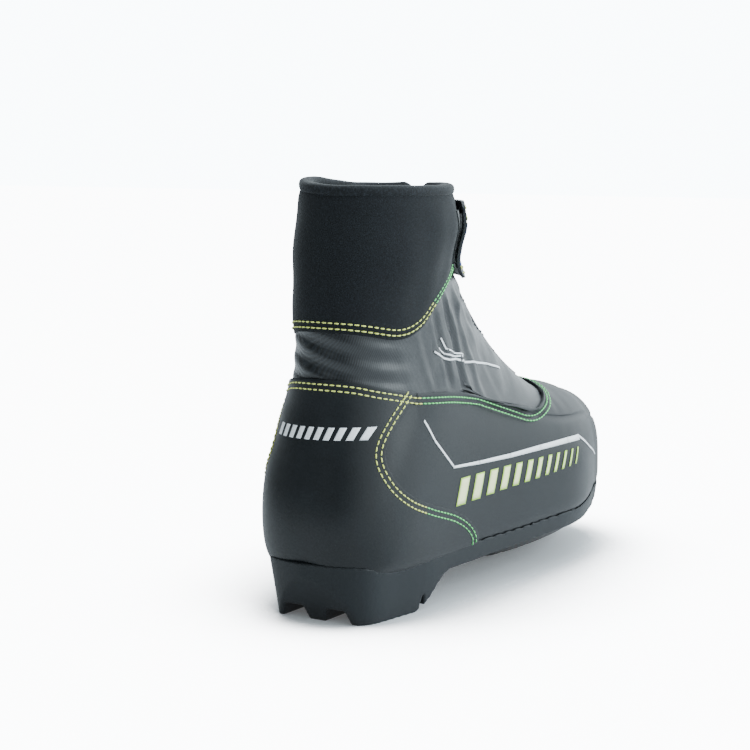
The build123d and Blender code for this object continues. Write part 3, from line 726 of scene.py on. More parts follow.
# heel quarter: laps over the vamp along the seam
quarter_vs = np.linspace(CORNER_OUT - 0.012, CORNER_IN + 0.012, 300)
quarter_top = crossing(over_leather, quarter_vs)
panel("rear_quarter_leather", np.full(300, 66.0), quarter_top, quarter_vs, 120, 0.9, 1.6, LEATHER,
      ("rear_quarter",), keep=lambda p: behind_seam(p[..., 0], p[..., 2]))

# cover: two halves of ribbed cloth between the leather's collar and the cuff, tucked under both
TUCK = 2.6              # rows that the cloth runs on under the leather and the cuff
COVER_LIFT = -0.9
ZIP_SPAN = (26.0, 52.0)         # degrees about the centre of the zip's arc
ARC_CENTRE = (278.0, 276.0)     # forward and up
CHANNEL = 8.3           # half width of the zip's channel, beside the 0.3 that the halves keep


def arc_angle(u, v):
    """The form's points as degrees about the centre of the zip's arc."""
    p = on_boot(surface(u, v))
    return np.degrees(np.arctan2(ARC_CENTRE[0] - p[..., 0], ARC_CENTRE[1] - p[..., 2]))


HALF_VS = np.linspace(0, 0.5, 171)
COVER_EDGES = {}
for sign in (1, -1):
    turn = HALF_VS if sign > 0 else 1 - HALF_VS
    COVER_EDGES[sign] = (crossing(over_leather, turn) - TUCK * 0.8,
                         crossing(over_cuff_edge, turn) + TUCK * 0.8)


def cover_start(u):
    """The v where a cover half begins: beside a channel along the zip, and at the middle beyond it."""
    angle = arc_angle(u, 0.0)
    half = CHANNEL * smooth_step(angle, ZIP_SPAN[0] - 1.6, ZIP_SPAN[0] + 0.6) + 0.3
    return half / girth(u)


def cover_lift(u, v):
    """How far the cover lies over the form: soft folds across the instep, where the cloth is loose over the
    lacing, one deep dent beside the cuff's front corner, and flat hems at the seams and the zip."""
    u, v = np.broadcast_arrays(np.asarray(u, float), np.asarray(v, float))
    half = np.where(v % 1.0 > 0.5, 1 - v % 1.0, v % 1.0)
    t = np.zeros(u.shape)
    for sign in (1, -1):
        low, high = (np.interp(half, HALF_VS, edge) for edge in COVER_EDGES[sign])
        mine = (v % 1.0 <= 0.5) if sign > 0 else (v % 1.0 > 0.5)
        t = np.where(mine, (u - low) / np.maximum(high - low, 1e-6), t)
    p = on_boot(surface(u, v))
    f, s, z = p[..., 0], p[..., 1], p[..., 2]
    angle = arc_angle(u, v)
    loose = smooth_step(t, 0.03, 0.25) * (1 - smooth_step(t, 0.8, 0.97))
    near_front = np.exp(-((np.abs(s) - 4) / 22) ** 2) * (f > 60)
    folds = ripple(angle + 0.1 * s, (1.0, 1 / 7.0, 0.15), (0.5, 1 / 3.9, 0.6)) * near_front
    side = np.exp(-((f - 88) / 30) ** 2) * smooth_step(np.abs(s), 8, 22)
    sags = (ripple(f * 0.95 + z * 0.35, (0.9, 1 / 13.0, 0.15), (0.35, 1 / 7.3, 0.5)) + 1.0) * side
    rear = ripple(z + 0.3 * s, (0.3, 1 / 10.0, 0.3)) * (1 - smooth_step(f, 20, 50))
    dent = -1.2 * np.exp(-((f - 97) / 9.0) ** 2 - ((z - 141) / 6.0) ** 2) * smooth_step(np.abs(s), 10, 22)
    edge = np.clip((half - cover_start(u)) * girth(u) / 4.0, 0, 1)
    rise = COVER_LIFT + np.maximum((folds + sags + rear + dent) * loose, -0.25)
    beside_zip = np.clip((cover_start(u) * girth(u) - 0.3) / CHANNEL, 0, 1)
    return rise * (0.25 + 0.75 * edge) + (1.1 * beside_zip - 0.1) * (1 - edge)


def cover_half(name, node, sign):
    """One half of the cover, from the middle of the front to the middle of the back."""
    share = np.linspace(0, 1, 170)[None, :]
    t = np.linspace(0, 1, 100)[:, None]
    low, high = COVER_EDGES[sign]
    front = low[0] + t[:, 0] * (high[0] - low[0])
    start = cover_start(front)
    v = start[:, None] + share * (0.5 - start[:, None])
    u = np.interp(v, HALF_VS, low) + t * (np.interp(v, HALF_VS, high) - np.interp(v, HALF_VS, low))
    turn = v if sign > 0 else 1 - v
    points = lifted(u, turn, cover_lift(u, turn))
    faces = grid_faces(len(t), share.shape[1])
    if sign < 0:
        faces = [face[::-1] for face in faces]
    obj = new_object(name, points, faces, COVER, "boot", (node,))
    thicken(obj, 1.1, 0.3)
    return obj


cover_half("cover_cloth_lateral", "cover_lateral", 1)
cover_half("cover_cloth_medial", "cover_medial", -1)

# cuff: thick neoprene with a slit down the front
SLIT = 0.0175
cuff_vs = np.linspace(SLIT, 1 - SLIT, 300)


def rim_height(v):
    """The rim stands a little higher at the rear inner side."""
    return 205.8 + 3.6 * np.exp(-((v - 0.66) / 0.13) ** 2)


def rim_crossing(vs, drop=0.0):
    """For each v, the u at which the form reaches the rim, or a drop below it."""
    points = on_boot(surface(FINE_U[:, None], vs[None, :]))
    value = points[..., 2] - (rim_height(vs) - drop)[None, :]
    value[FINE_U < LAST * 0.5] = -1
    k = np.maximum(np.argmax(value > 0, axis=0), 1)
    j = np.arange(len(vs))
    t = value[k - 1, j] / (value[k - 1, j] - value[k, j])
    return FINE_U[k - 1] + t * (FINE_U[k] - FINE_U[k - 1])


def cuff_shape(u, v, t):
    """The foam swells between its sewn lower edge and the binding, with faint dents from the ankle."""
    p = on_boot(surface(u, v))
    swell = 0.7 * smooth_step(t, 0.0, 0.12) * (1 - smooth_step(t, 0.9, 1.0))
    dents = (ripple(p[..., 2] + 0.4 * p[..., 0], (0.22, 1 / 31.0, 0.2))
             + ripple(p[..., 0] - 0.5 * p[..., 1], (0.18, 1 / 23.0, 0.6)))
    return swell + dents * smooth_step(t, 0.05, 0.3) * (1 - smooth_step(t, 0.8, 1.0))


cuff_low = crossing(over_cuff_edge, cuff_vs)
cuff_high = rim_crossing(cuff_vs)
panel("cuff_neoprene", cuff_low, cuff_high, cuff_vs, 110, 0.0, 2.2, NEOPRENE, ("cuff",),
      cuff_shape, rounding=0.5)


# binding: a braided tape folded over the rim
def sweep(name, path, profile, across, upward, material, replaces):
    """A tube whose profile is (across, up) in mm at each point of a path, with the two directions given."""
    rows, count = profile.shape[:2]
    points = path[:, None] + across[:, None] * profile[..., :1] + upward[:, None] * profile[..., 1:]
    faces = []
    for i in range(rows - 1):
        for j in range(count):
            k = (j + 1) % count
            faces.append((i * count + j, i * count + k, (i + 1) * count + k, (i + 1) * count + j))
    faces.append(tuple(range(count))[::-1])
    faces.append(tuple((rows - 1) * count + j for j in range(count)))
    return new_object(name, points, faces, material, "boot", replaces)


def fix_normals(obj):
    """Turns every face of a closed form outwards."""
    data = bmesh.new()
    data.from_mesh(obj.data)
    bmesh.ops.recalc_face_normals(data, faces=data.faces[:])
    data.to_mesh(obj.data)
    data.free()


RIM_ROWS = 260
binding_vs = np.linspace(SLIT * 0.75, 1 - SLIT * 0.75, RIM_ROWS)
rim_u = rim_crossing(binding_vs, 0.6)
rim_points = surface(rim_u, binding_vs)
rim_out = outward(rim_u, binding_vs)
rim_out[:, 2] = 0
rim_out /= np.linalg.norm(rim_out, axis=1, keepdims=True)
turns = np.linspace(0, 2 * math.pi, 20, endpoint=False)
fold = np.stack([-2.6 + 3.5 * np.sign(np.cos(turns)) * np.abs(np.cos(turns)) ** 0.7,
                 1.4 + 2.9 * np.sign(np.sin(turns)) * np.abs(np.sin(turns)) ** 0.8], axis=-1)
row = np.arange(RIM_ROWS)
end_share = np.clip(np.minimum(row, RIM_ROWS - 1 - row) / 5.0, 0.15, 1)
fold_all = (fold[None] - fold.mean(axis=0)) * end_share[:, None, None] ** 0.6 + fold.mean(axis=0)
rim_points[:, 2] += ripple(row / float(RIM_ROWS), (0.25, 3, 0.1), (0.08, 11, 0.5))
binding = sweep("cuff_binding_tape", rim_points, fold_all, rim_out, np.tile([0, 0, 1.0], (RIM_ROWS, 1)),
                BINDING, ("cuff_binding",))
fix_normals(binding)

# lining: the padded inner boot, from the rim down to the footbed
lining_vs = np.linspace(SLIT, 1 - SLIT, 200)
lining_high = rim_crossing(lining_vs, 1.0)


def inner_shape(u, v, t):
    """Shallow waves of padding."""
    return ripple(v * 7 + t * 3, (0.35, 1, 0.2)) + ripple(v * 15 - t * 5, (0.2, 1, 0.4))


lining_low = crossing(lambda f, z: z - 27.4, lining_vs, start=8.0)
panel("lining_padded", lining_low, lining_high, lining_vs, 120, -2.6, 2.8, LINING,
      ("lining",), inner_shape)

# tongue: a padded leaf behind the slit and the lacing
tongue_vs = np.linspace(-0.078, 0.078, 60)
tongue_low = crossing(lambda f, z: 200 - f + 0 * z, tongue_vs)
tongue_high = rim_crossing(tongue_vs, 5.0)


def tongue_shape(u, v, t):
    """The leaf is thickest along its middle and stitched across in low channels."""
    crown = 1 - (v / 0.078) ** 2
    channels = -0.5 * np.abs(np.cos(math.pi * t * 11)) ** 8
    return 1.2 * crown + channels * crown


tongue = panel("tongue_padded", tongue_low, tongue_high, tongue_vs, 110, -7.6, 3.6, LINING,
               ("tongue",), tongue_shape, rounding=0.8)

# footbed: a loose insole, cupped under the heel
near_floor = on_boot(FORM[TOE_ROWS // 2:TOE_ROWS + 7 * FINE].reshape(-1, 3))
near_floor = near_floor[(near_floor[:, 2] > 29) & (near_floor[:, 2] < 37)]
BOARD_TOP = np.array([
    (-40, 27), (10, 25.4), (50, 24.6), (100, 25.9), (152, 26.4), (200, 26.9), (234, 28.4),
    (254, 30.4), (310, 36),
])


def floor_side(f, sign):
    """How far the form's floor reaches to one side, at places along the boot."""
    chosen = near_floor[near_floor[:, 1] * sign > 0]
    bins = np.arange(-5, 285, 5.0)
    reach = []
    for b in bins:
        near = chosen[np.abs(chosen[:, 0] - b) < 6, 1]
        reach.append(np.median(near) if len(near) else 0)
    return np.interp(f, bins, reach)


stations = np.linspace(6.0, 266.0, 110)
across = np.linspace(-1, 1, 40)
taper = np.sqrt(np.clip(1 - ((stations - 136) / 131.5) ** 8, 0, 1))
outer_side, inner_side = floor_side(stations, 1) - 7.5, floor_side(stations, -1) + 7.5
middle, half_width = 0.5 * (outer_side + inner_side), 0.5 * (outer_side - inner_side) * taper
foot_side = middle[:, None] + half_width[:, None] * across[None, :]
cup = 3.0 * np.abs(across[None, :]) ** 3 * (1 - smooth_step(stations, 60, 130))[:, None]
foot_up = np.interp(stations, BOARD_TOP[:, 0], BOARD_TOP[:, 1])[:, None] + 4.2 + cup + 0 * foot_side
footbed = new_object("footbed_insole", place(stations[:, None], foot_side, foot_up), grid_faces(110, 40),
                     FOOTBED, "boot", ("footbed",))
thicken(footbed, 3.6, 0.8)


# ---- stitching ----

STITCH_LENGTH, STITCH_GAP, THREAD_THICK = 2.5, 0.75, 0.36
SEAM_ROWS = (2.3, 5.0)          # two rows of stitches, this far from a seam


def path_on_form(us, vs, away):
    """The u and v of a path on the form, away mm to the left of a line on it."""
    us, vs = np.array(us, float), np.array(vs, float)
    base = surface(us, vs)
    along = np.gradient(base, axis=0)
    along /= np.maximum(np.linalg.norm(along, axis=1, keepdims=True), 1e-9)
    aim = base + away * np.cross(outward(us, vs), along)
    for _ in range(4):
        du, dv = slopes_at(us, vs)
        miss = aim - surface(us, vs)
        a, b, c = (du * du).sum(1), (du * dv).sum(1), (dv * dv).sum(1)
        p, q = (miss * du).sum(1), (miss * dv).sum(1)
        det = np.maximum(a * c - b * b, 1e-9)
        us = np.clip(us + (c * p - b * q) / det, 0.5, LAST - 1)
        vs = vs + (a * q - b * p) / det
    return us, vs


def stitches_along(points, normal, margin=0.0):
    """The stitches along a path: start, middle and end of each, its outward direction and thickness."""
    travelled = np.concatenate([[0], np.cumsum(np.linalg.norm(np.diff(points, axis=0), axis=1))])
    step, half = STITCH_LENGTH + STITCH_GAP, STITCH_LENGTH / 2
    out = []
    for m in (np.arange(int((travelled[-1] - margin) / step)) + 0.5) * step + 0.5 * margin:
        ends = [np.array([np.interp(x, travelled, points[:, k]) for k in range(3)])
                for x in (m - half, m, m + half)]
        n = np.array([np.interp(m, travelled, normal[:, k]) for k in range(3)])
        out.append((ends, n / np.linalg.norm(n), THREAD_THICK))
    return out


def stitch_row(us, vs, away, lift):
    """The stitches of a row beside a seam."""
    us, vs = path_on_form(us, vs, away)
    normal = outward(us, vs)
    lifts = np.broadcast_to(np.asarray(lift, float), us.shape)
    return stitches_along(surface(us, vs) + normal * lifts[:, None], normal, STITCH_GAP)


def sew(name, rows, material, body="boot"):
    """One object holding many stitches, each a short rounded grain of thread that dips in at its ends."""
    points, faces = [], []
    # share of the length, share of the thickness, and height
    profile = [(-0.5, 0.30, -0.30), (-0.42, 0.75, -0.02), (-0.2, 1.0, 0.16), (0.0, 1.0, 0.2),
               (0.2, 1.0, 0.16), (0.42, 0.75, -0.02), (0.5, 0.30, -0.30)]
    sides = 8
    for (start, middle, end), n, thick in rows:
        along = (end - start) / np.linalg.norm(end - start)
        side = np.cross(n, along)
        first = len(points)
        for share, wide, up in profile:
            near = start + (share + 0.5) * (end - start)
            near = near + (middle - 0.5 * (start + end)) * (1 - (2 * share) ** 2)
            for k in range(sides):
                a = 2 * math.pi * k / sides
                points.append(near + side * math.cos(a) * thick * wide
                              + n * (up + math.sin(a) * thick * wide * 0.8))
        for i in range(len(profile) - 1):
            for k in range(sides):
                a, b = first + i * sides + k, first + i * sides + (k + 1) % sides
                faces.append((a, b, b + sides, a + sides))
        faces.append(tuple(first + k for k in range(sides))[::-1])
        faces.append(tuple(first + (len(profile) - 1) * sides + k for k in range(sides)))
    obj = new_object(name, np.array(points), faces, material, body)
    fix_normals(obj)
    return obj


stitch_vs = np.linspace(0.045, 0.955, 900)
# along the cuff's lower edge, on the cuff, two rows
edge_u = crossing(over_cuff_edge, stitch_vs)
lime_rows, green_rows, dark_rows = [], [], []


def by_colour(rows, test):
    """Sorts stitches into the green ones, which pass the test, and the lime ones."""
    for row in rows:
        (green_rows if test(on_boot(row[0][1])) else lime_rows).append(row)


for away in SEAM_ROWS:
    by_colour(stitch_row(edge_u, stitch_vs, -away, 0.55), lambda p: p[2] > 152)

# along the leather's collar: round the heel, and forward along the vamp to the throat
collar_vs = np.concatenate([np.linspace(0.0004, 0.5, 1100), np.linspace(0.5, 0.9996, 1100)[1:]])
collar_u = crossing(over_leather, collar_vs)
for away in SEAM_ROWS:
    by_colour(stitch_row(collar_u, collar_vs, away, 0.95), lambda p: p[0] > 45)

# down the quarter's front seam on each side
seam_points = smooth_line(SEAM, 80)
seam_points = seam_points[(seam_points[:, 1] > 26) & (seam_points[:, 1] < 108)]
for sign in (1, -1):
    seam_u, seam_v = on_side(seam_points[:, 0], seam_points[:, 1], sign)
    for away in SEAM_ROWS:
        by_colour(stitch_row(seam_u, seam_v, -away * sign, 0.95), lambda p: p[0] > 45)

sew("stitches_lime", lime_rows, YELLOW)
sew("stitches_green", green_rows, GREEN)

# beside the zip, on the cover
for sign in (1, -1):
    zip_us = np.linspace(COVER_EDGES[1][0][0] + 12, COVER_EDGES[1][1][0] - 4, 300)
    zip_vs = sign * (cover_start(zip_us) + 2.2 / girth(zip_us))
    dark_rows += stitch_row(zip_us, zip_vs, 0.0, cover_lift(zip_us, zip_vs) + 0.05)
sew("stitches_zip", dark_rows, DARK_THREAD)


# ---- the closing flap over the cuff's front ----

FLAP_UP = (160.0, 200.0)
FLAP_BACK = ((98.0, 160.0), (80.0, 200.0))      # forward and up of its ends, on both sides of the boot
FLAP_ROOT = 5.0                                 # the sewn root runs back past the hinge line
FLAP_LIFT, FLAP_STAND_OFF, FLAP_THICK = 3.4, 1.4, 1.6
FLAP_LENGTH, FLAP_CORNER = 66.0, 8.0
flap_levels = np.linspace(FLAP_UP[0] - 1, FLAP_UP[1] + 1, 41)
flap_turns = np.linspace(-0.16, 0.16, 161)
flap_u = np.array([crossing(lambda f, z: z - level, flap_turns, LAST * 0.4) for level in flap_levels])
back_f = np.interp(flap_levels, [p[1] for p in FLAP_BACK], [p[0] for p in FLAP_BACK])
flap_ends = [on_boot(surface(row, flap_turns))[:, 0] for row in flap_u]
hinge_v, free_v = [], []
for forward_at, back in zip(flap_ends, back_f):
    inner, outer = flap_turns < 0, flap_turns > 0
    hinge_v.append(np.interp(back - FLAP_ROOT, forward_at[inner], flap_turns[inner]))
    free_v.append(np.interp(-back, -forward_at[outer], flap_turns[outer]))
hinge_v, free_v = np.array(hinge_v), np.array(free_v)


def on_flap(w, level, lift):
    """A point of the flap: w from its root to its free edge, at a height, and lift over its outer face."""
    w, level = np.broadcast_arrays(np.asarray(w, float), np.asarray(level, float))
    start, end = np.interp(level, flap_levels, hinge_v), np.interp(level, flap_levels, free_v)
    v = start + w * (end - start)
    row = (level - flap_levels[0]) / (flap_levels[1] - flap_levels[0])
    column = (v - flap_turns[0]) / (flap_turns[1] - flap_turns[0])
    i, j = np.clip(np.floor(row).astype(int), 0, 39), np.clip(np.floor(column).astype(int), 0, 159)
    a, b = row - i, column - j
    u = ((1 - a) * ((1 - b) * flap_u[i, j] + b * flap_u[i, j + 1])
         + a * ((1 - b) * flap_u[i + 1, j] + b * flap_u[i + 1, j + 1]))
    wave = 0.35 * np.sin(2 * math.pi * (w * 1.7 + level / 55.0)) * smooth_step(w, 0.15, 0.5)
    rise = FLAP_LIFT - 1.4 * (1 - smooth_step(w, 0.02, 0.12)) + FLAP_STAND_OFF * w ** 1.4 + wave
    return lifted(u, v, rise + lift), u, v


def flap_level(t, w):
    """Height on the flap, from t 0 at its lower edge to 1 at its upper one, with rounded free corners."""
    away = np.clip((1 - w) * FLAP_LENGTH, 0, FLAP_CORNER)
    inset = FLAP_CORNER - np.sqrt(np.maximum(FLAP_CORNER ** 2 - (FLAP_CORNER - away) ** 2, 0))
    return FLAP_UP[0] + inset + t * (FLAP_UP[1] - FLAP_UP[0] - 2 * inset)


flap_w = 1 - (1 - np.linspace(0, 1, 110)) ** 1.15
flap_t = np.linspace(0, 1, 60)[:, None]
flap_points = on_flap(flap_w[None, :] + 0 * flap_t, flap_level(flap_t, flap_w[None, :]), 0.0)[0]
flap = new_object("closing_flap", flap_points, grid_faces(60, 110), STRAP, None,
                  ("cuff_strap",))
thicken(flap, FLAP_THICK, 0.4)


def flap_sheet(name, w_span, level_span, lift, thickness, material, replaces, count=30):
    """A sheet that lies on the flap, or under it where its lift is negative."""
    w, level = np.linspace(*w_span, count)[None, :], np.linspace(*level_span, count)[:, None]
    points = on_flap(w + 0 * level, level + 0 * w, lift)[0]
    obj = new_object(name, points, grid_faces(count, count), material, None, replaces)
    thicken(obj, thickness, 0.15)
    return obj


flap_pieces = [
    flap,
    flap_sheet("flap_label", (0.885, 0.985), (167, 190), 0.45, 0.4, LABEL, ("strap_label",)),
    flap_sheet("flap_hook_patch", (0.70, 0.97), (166, 194), -FLAP_THICK - 0.05, 0.8, HOOKS,
               ("strap_hook_patch",)),
]


def flap_row(w, level):
    """Stitches along a line on the flap."""
    points, u, v = on_flap(w, level, 0.05)
    return stitches_along(points, outward(u, v))


flap_rows = []
for inset in (2.2, 4.8):
    share = inset / FLAP_LENGTH
    tall = inset / (FLAP_UP[1] - FLAP_UP[0])
    along_w, along_t = np.linspace(0.12, 1 - share, 200), np.linspace(tall, 1 - tall, 100)
    flap_rows += flap_row(along_w, flap_level(tall, along_w))
    flap_rows += flap_row(along_w, flap_level(1 - tall, along_w))
    flap_rows += flap_row(0 * along_t + 1 - share, flap_level(along_t, 1 - share))
flap_pieces.append(sew("stitches_flap", flap_rows, YELLOW, None))
root_rows = []
for w in (0.018, 0.05):
    levels = np.linspace(FLAP_UP[0] + 2, FLAP_UP[1] - 2, 80)
    root_rows += flap_row(0 * levels + w, levels)
flap_pieces.append(sew("stitches_flap_root", root_rows, DARK_THREAD, None))

BEND_START = place(90, -31.0, 180) * MM
BEND_END = place(90, -24.0, 180) * MM
for piece in flap_pieces:
    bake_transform(piece)

# the loop patch on the cuff that the flap's hooks close on
patch_u, patch_v = [], []
for level in np.linspace(167, 196, 30):
    ends_f = np.interp(level, [166, 198], [95, 78]), np.interp(level, [166, 198], [115, 104])
    us, vs = on_side([*ends_f], [level, level], 1)
    patch_v.append(np.linspace(vs[0], vs[1], 30))
    patch_u.append(np.linspace(us[0], us[1], 30))
patch = new_object("cuff_loop_patch", lifted(np.array(patch_u), np.array(patch_v), np.full((30, 30), 1.5)),
                   [f[::-1] for f in grid_faces(30, 30)], HOOKS, "boot", ("strap_loop_patch",))
thicken(patch, 1.0, 0.2)


# ---- prints, all of them plain bars and lines ----

def patch_on_side(corners, sign, lift, columns=10, rows=8, by="forward", lift_of=None):
    """A four-cornered patch of print, its corners given as (forward or side, up), as points and faces."""
    a, b, c, d = (np.array(x, float) for x in corners)
    s, t = np.meshgrid(np.linspace(0, 1, columns), np.linspace(0, 1, rows))
    flat = (((1 - s) * (1 - t))[..., None] * a + (s * (1 - t))[..., None] * b
            + (s * t)[..., None] * c + ((1 - s) * t)[..., None] * d)
    us, vs = on_side(flat[..., 0], flat[..., 1], sign, by)
    us, vs = us.reshape(s.shape), vs.reshape(s.shape)
    rise = lift + (lift_of(us, vs) if lift_of is not None else 0)
    return lifted(us, vs, rise + np.zeros(us.shape)), grid_faces(rows, columns)


def print_patches(name, patches, material):
    """One object from several printed patches, each a thin closed film."""
    points, faces = [], []
    for patch_points, patch_faces in patches:
        start = sum(len(p) for p in points)
        points.append(patch_points.reshape(-1, 3))
        faces += [tuple(start + k for k in face) for face in patch_faces]
    obj = new_object(name, np.concatenate(points), faces, material, "boot")
    thicken(obj, 0.12, 0)
    return obj


def band(path, widths, sign, lift, lift_of=None):
    """A printed line through (forward, up) points, with its width at each of them."""
    corners = []
    for k, (f, z) in enumerate(path):
        before, after = path[max(k - 1, 0)], path[min(k + 1, len(path) - 1)]
        along = math.hypot(after[0] - before[0], after[1] - before[1])
        half = (widths if isinstance(widths, float) else widths[k]) / 2
        away = (-(after[1] - before[1]) / along * half, (after[0] - before[0]) / along * half)
        corners.append(((f - away[0], z - away[1]), (f + away[0], z + away[1])))
    patches = []
    for (low, high), (next_low, next_high) in zip(corners, corners[1:]):
        columns = max(3, int(math.dist(low, next_low) / 2.5))
        patches.append(patch_on_side([low, next_low, next_high, high], sign, lift, columns, 3,
                                     lift_of=lift_of))
    return patches


BAR_LEAN = 5.5
# forward of each bar's lower corner, its width, and its lower end's height
BARS = [
    (76, 9.0, 49.0), (91, 8.2, 49.6), (105, 7.4, 50.2), (118, 6.6, 50.8), (130, 5.8, 51.2),
    (141.5, 5.0, 51.6), (152, 4.3, 52.0), (162, 3.6, 52.4), (171, 3.0, 52.8), (179.5, 2.5, 53.2),
    (187.5, 2.0, 53.6), (195, 1.6, 54.0),
]
BAR_TOP = 62.5
for sign, side_name in ((1, "lateral"), (-1, "medial")):
    white = band([(47, 96), (56, 85), (74.2, 69.6)], (1.2, 1.2, 1.2), sign, 0.14)
    white += band([(74, 69.2), (100, 67.8), (130, 67.2), (160, 67.6), (190, 67.6), (206, 67.2)],
                  (1.2, 1.7, 2.2, 2.6, 2.9, 3.0), sign, 0.14)
    white += band([(205, 68.2), (223, 59.5), (250, 50.5)], (1.4, 1.2, 1.0), sign, 0.14)
    print_patches("print_line_" + side_name, white, WHITE_PRINT)
    rims, fills = [], []
    for forward_at, width, low in BARS:
        for grow, into, lift in ((0.0, rims, 0.12), (-0.7, fills, 0.22)):
            into.append(patch_on_side(
                [(forward_at - grow, low - grow), (forward_at + width + grow, low - grow),
                 (forward_at + width + BAR_LEAN + grow, BAR_TOP + grow),
                 (forward_at + BAR_LEAN - grow, BAR_TOP + grow)],
                sign, lift, 5, 7))
    print_patches("print_bars_rim_" + side_name, rims, GREEN_PRINT)
    print_patches("print_bars_" + side_name, fills, LIME_PRINT)
    flow = band([(62, 128), (68, 124.8), (76, 122.6), (88, 121.8)], 1.0, sign, 0.22, cover_lift)
    flow += band([(66, 129.5), (72, 126), (80, 124), (93, 122.6)], 0.8, sign, 0.22, cover_lift)
    flow += band([(70, 134), (73, 128.5), (82, 125.6), (97, 123)], 0.8, sign, 0.22, cover_lift)
    flow += band([(86, 122.1), (97, 119.2), (111, 117.6), (130, 115), (146, 111)], 1.1, sign, 0.22,
                 cover_lift)
    print_patches("print_flow_" + side_name, flow, WHITE_PRINT)

heel_bars = []
for k in range(10):
    start, low, wide = -25 + 5.1 * k, 89.0 + 0.1 * k, 2.9
    heel_bars.append(patch_on_side([(start, low), (start + wide, low), (start + wide + 2.2, low + 6.0),
                                    (start + 2.2, low + 6.0)], 1, 1.02, 5, 5, by="side"))
print_patches("print_heel_bars", heel_bars, WHITE_PRINT)


# ---- the moulded sole ----

def moulded(node, name, voxel, smoothing, share, material):
    """A CAD solid's copy with its edges softened, as rubber leaves a mould."""
    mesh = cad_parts[node].data.copy()
    mesh.name = name
    data = bmesh.new()
    data.from_mesh(mesh)
    bmesh.ops.remove_doubles(data, verts=data.verts[:], dist=0.01 * MM)
    data.to_mesh(mesh)
    data.free()
    obj = bpy.data.objects.new(name, mesh)
    bpy.context.scene.collection.objects.link(obj)
    remesh = obj.modifiers.new("voxels", "REMESH")
    remesh.mode = "VOXEL"
    remesh.voxel_size = voxel * MM
    soften = obj.modifiers.new("soften", "SMOOTH")
    soften.factor = 0.5
    soften.iterations = smoothing
    fewer = obj.modifiers.new("fewer", "DECIMATE")
    fewer.ratio = share
    bpy.context.view_layer.update()
    evaluated = obj.evaluated_get(bpy.context.evaluated_depsgraph_get())
    final = bpy.data.meshes.new_from_object(evaluated)
    obj.modifiers.clear()
    obj.data = final
    final.materials.clear()
    final.materials.append(material)
    final.shade_smooth()
    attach(obj, "boot")
    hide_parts(node)


moulded("outsole", "outsole_moulded", 0.7, 2, 0.4, RUBBER)

# ---- floor and light ----

LIGHT_COLOUR = (0.84, 0.95, 1.0)
BACKDROP = 12.0         # the world's strength as the camera sees it
REACH = 6.0             # half the floor's width, in metres
floor_mesh = bpy.data.meshes.new("floor")
floor_mesh.from_pydata([(-REACH, -REACH, 0), (REACH, -REACH, 0), (REACH, REACH, 0), (-REACH, REACH, 0)],
                       [], [(0, 1, 2, 3)])
floor = bpy.data.objects.new("floor", floor_mesh)
bpy.context.scene.collection.objects.link(floor)
floor_material, _, _, floor_shader = shader("studio_floor", (0.60, 0.62, 0.64), 0.6, specular=0.2)
floor_shader.inputs["Emission Color"].default_value = (0.97, 0.985, 1.0, 1)
floor_shader.inputs["Emission Strength"].default_value = 0.35
floor_mesh.materials.append(floor_material)
floor_nodes, floor_links = floor_material.node_tree.nodes, floor_material.node_tree.links
floor_seen = floor_nodes.new("ShaderNodeLightPath")
floor_glow = floor_nodes.new("ShaderNodeMapRange")
floor_glow.inputs["To Min"].default_value = 0.2
floor_links.new(floor_seen.outputs["Is Camera Ray"], floor_glow.inputs["Value"])
# the floor's glow is dimmed by ambient occlusion near the boot: a painted contact shadow under it, on a floor
# that otherwise glows white
floor_near = floor_nodes.new("ShaderNodeAmbientOcclusion")
floor_near.samples = 16
floor_near.inputs["Distance"].default_value = 0.14
floor_glow_with_painted_shadow = floor_nodes.new("ShaderNodeMapRange")
floor_glow_with_painted_shadow.inputs["From Min"].default_value, floor_glow_with_painted_shadow.inputs["From Max"].default_value = 0.5, 0.97
floor_glow_with_painted_shadow.inputs["To Min"].default_value, floor_glow_with_painted_shadow.inputs["To Max"].default_value = 0.1, 11.0
floor_glow_with_painted_shadow.interpolation_type = "SMOOTHERSTEP"
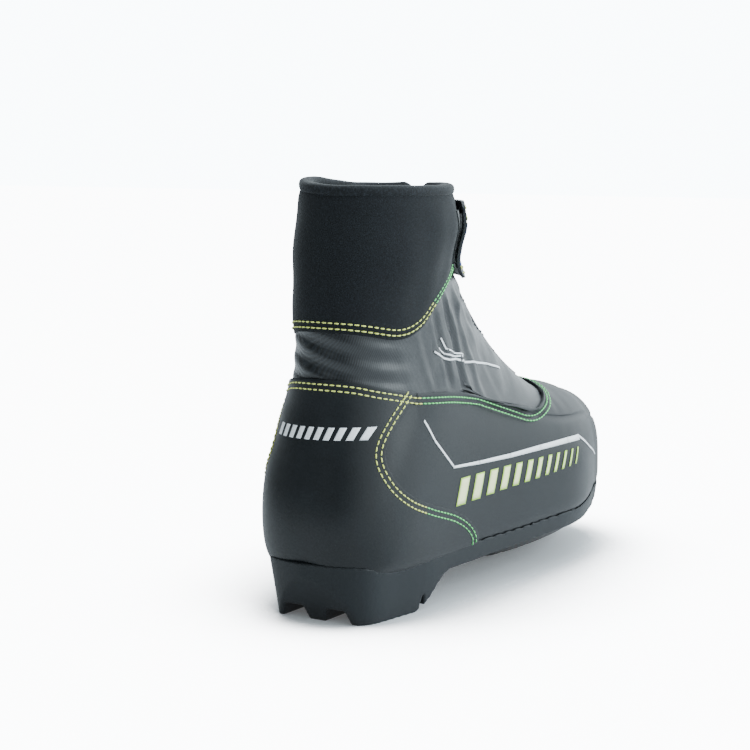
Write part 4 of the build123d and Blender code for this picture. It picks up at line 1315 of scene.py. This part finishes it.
floor_links.new(floor_near.outputs["AO"], floor_glow_with_painted_shadow.inputs["Value"])
floor_links.new(floor_glow_with_painted_shadow.outputs["Result"], floor_glow.inputs["To Max"])
floor_links.new(floor_glow.outputs["Result"], floor_shader.inputs["Emission Strength"])

world = bpy.data.worlds.new("studio")
world.use_nodes = True
nodes, links = world.node_tree.nodes, world.node_tree.links
background = nodes["Background"]
background.inputs["Color"].default_value = (*LIGHT_COLOUR, 1)
direction = nodes.new("ShaderNodeTexCoord")
facing = nodes.new("ShaderNodeVectorMath")
facing.operation = "DOT_PRODUCT"
facing.inputs[1].default_value = (-0.70, -0.65, 0.30)
links.new(direction.outputs["Generated"], facing.inputs[0])
glow = nodes.new("ShaderNodeMapRange")
glow.inputs["From Min"].default_value, glow.inputs["From Max"].default_value = -0.35, 0.75
glow.inputs["To Min"].default_value, glow.inputs["To Max"].default_value = 0.16, 2.7
glow.interpolation_type = "SMOOTHSTEP"
links.new(facing.outputs["Value"], glow.inputs["Value"])
seen = nodes.new("ShaderNodeLightPath")
backdrop = nodes.new("ShaderNodeMix")
backdrop.data_type = "FLOAT"
links.new(seen.outputs["Is Camera Ray"], backdrop.inputs["Factor"])
links.new(glow.outputs["Result"], backdrop.inputs["A"])
backdrop.inputs["B"].default_value = BACKDROP
links.new(backdrop.outputs["Result"], background.inputs["Strength"])
bpy.context.scene.world = world


def soft_light(name, at, aim, size, power):
    """A square lamp that faces a point, its places in metres and its power in watts."""
    data = bpy.data.lights.new(name, "AREA")
    data.shape = "SQUARE"
    data.size = size
    data.energy = power
    data.color = LIGHT_COLOUR
    light = bpy.data.objects.new(name, data)
    bpy.context.scene.collection.objects.link(light)
    light.location = at
    light.rotation_euler = (Vector(aim) - Vector(at)).to_track_quat("-Z", "Y").to_euler()


soft_light("top_light", (0.1, -0.2, 1.7), (0, 0, 0.1), 1.4, 20)
soft_light("side_light", (-1.5, -0.5, 0.8), (0, 0, 0.1), 1.1, 22)
soft_light("rear_light", (0.3, 1.6, 1.0), (0, 0, 0.1), 0.8, 3)

low, high = cad_box
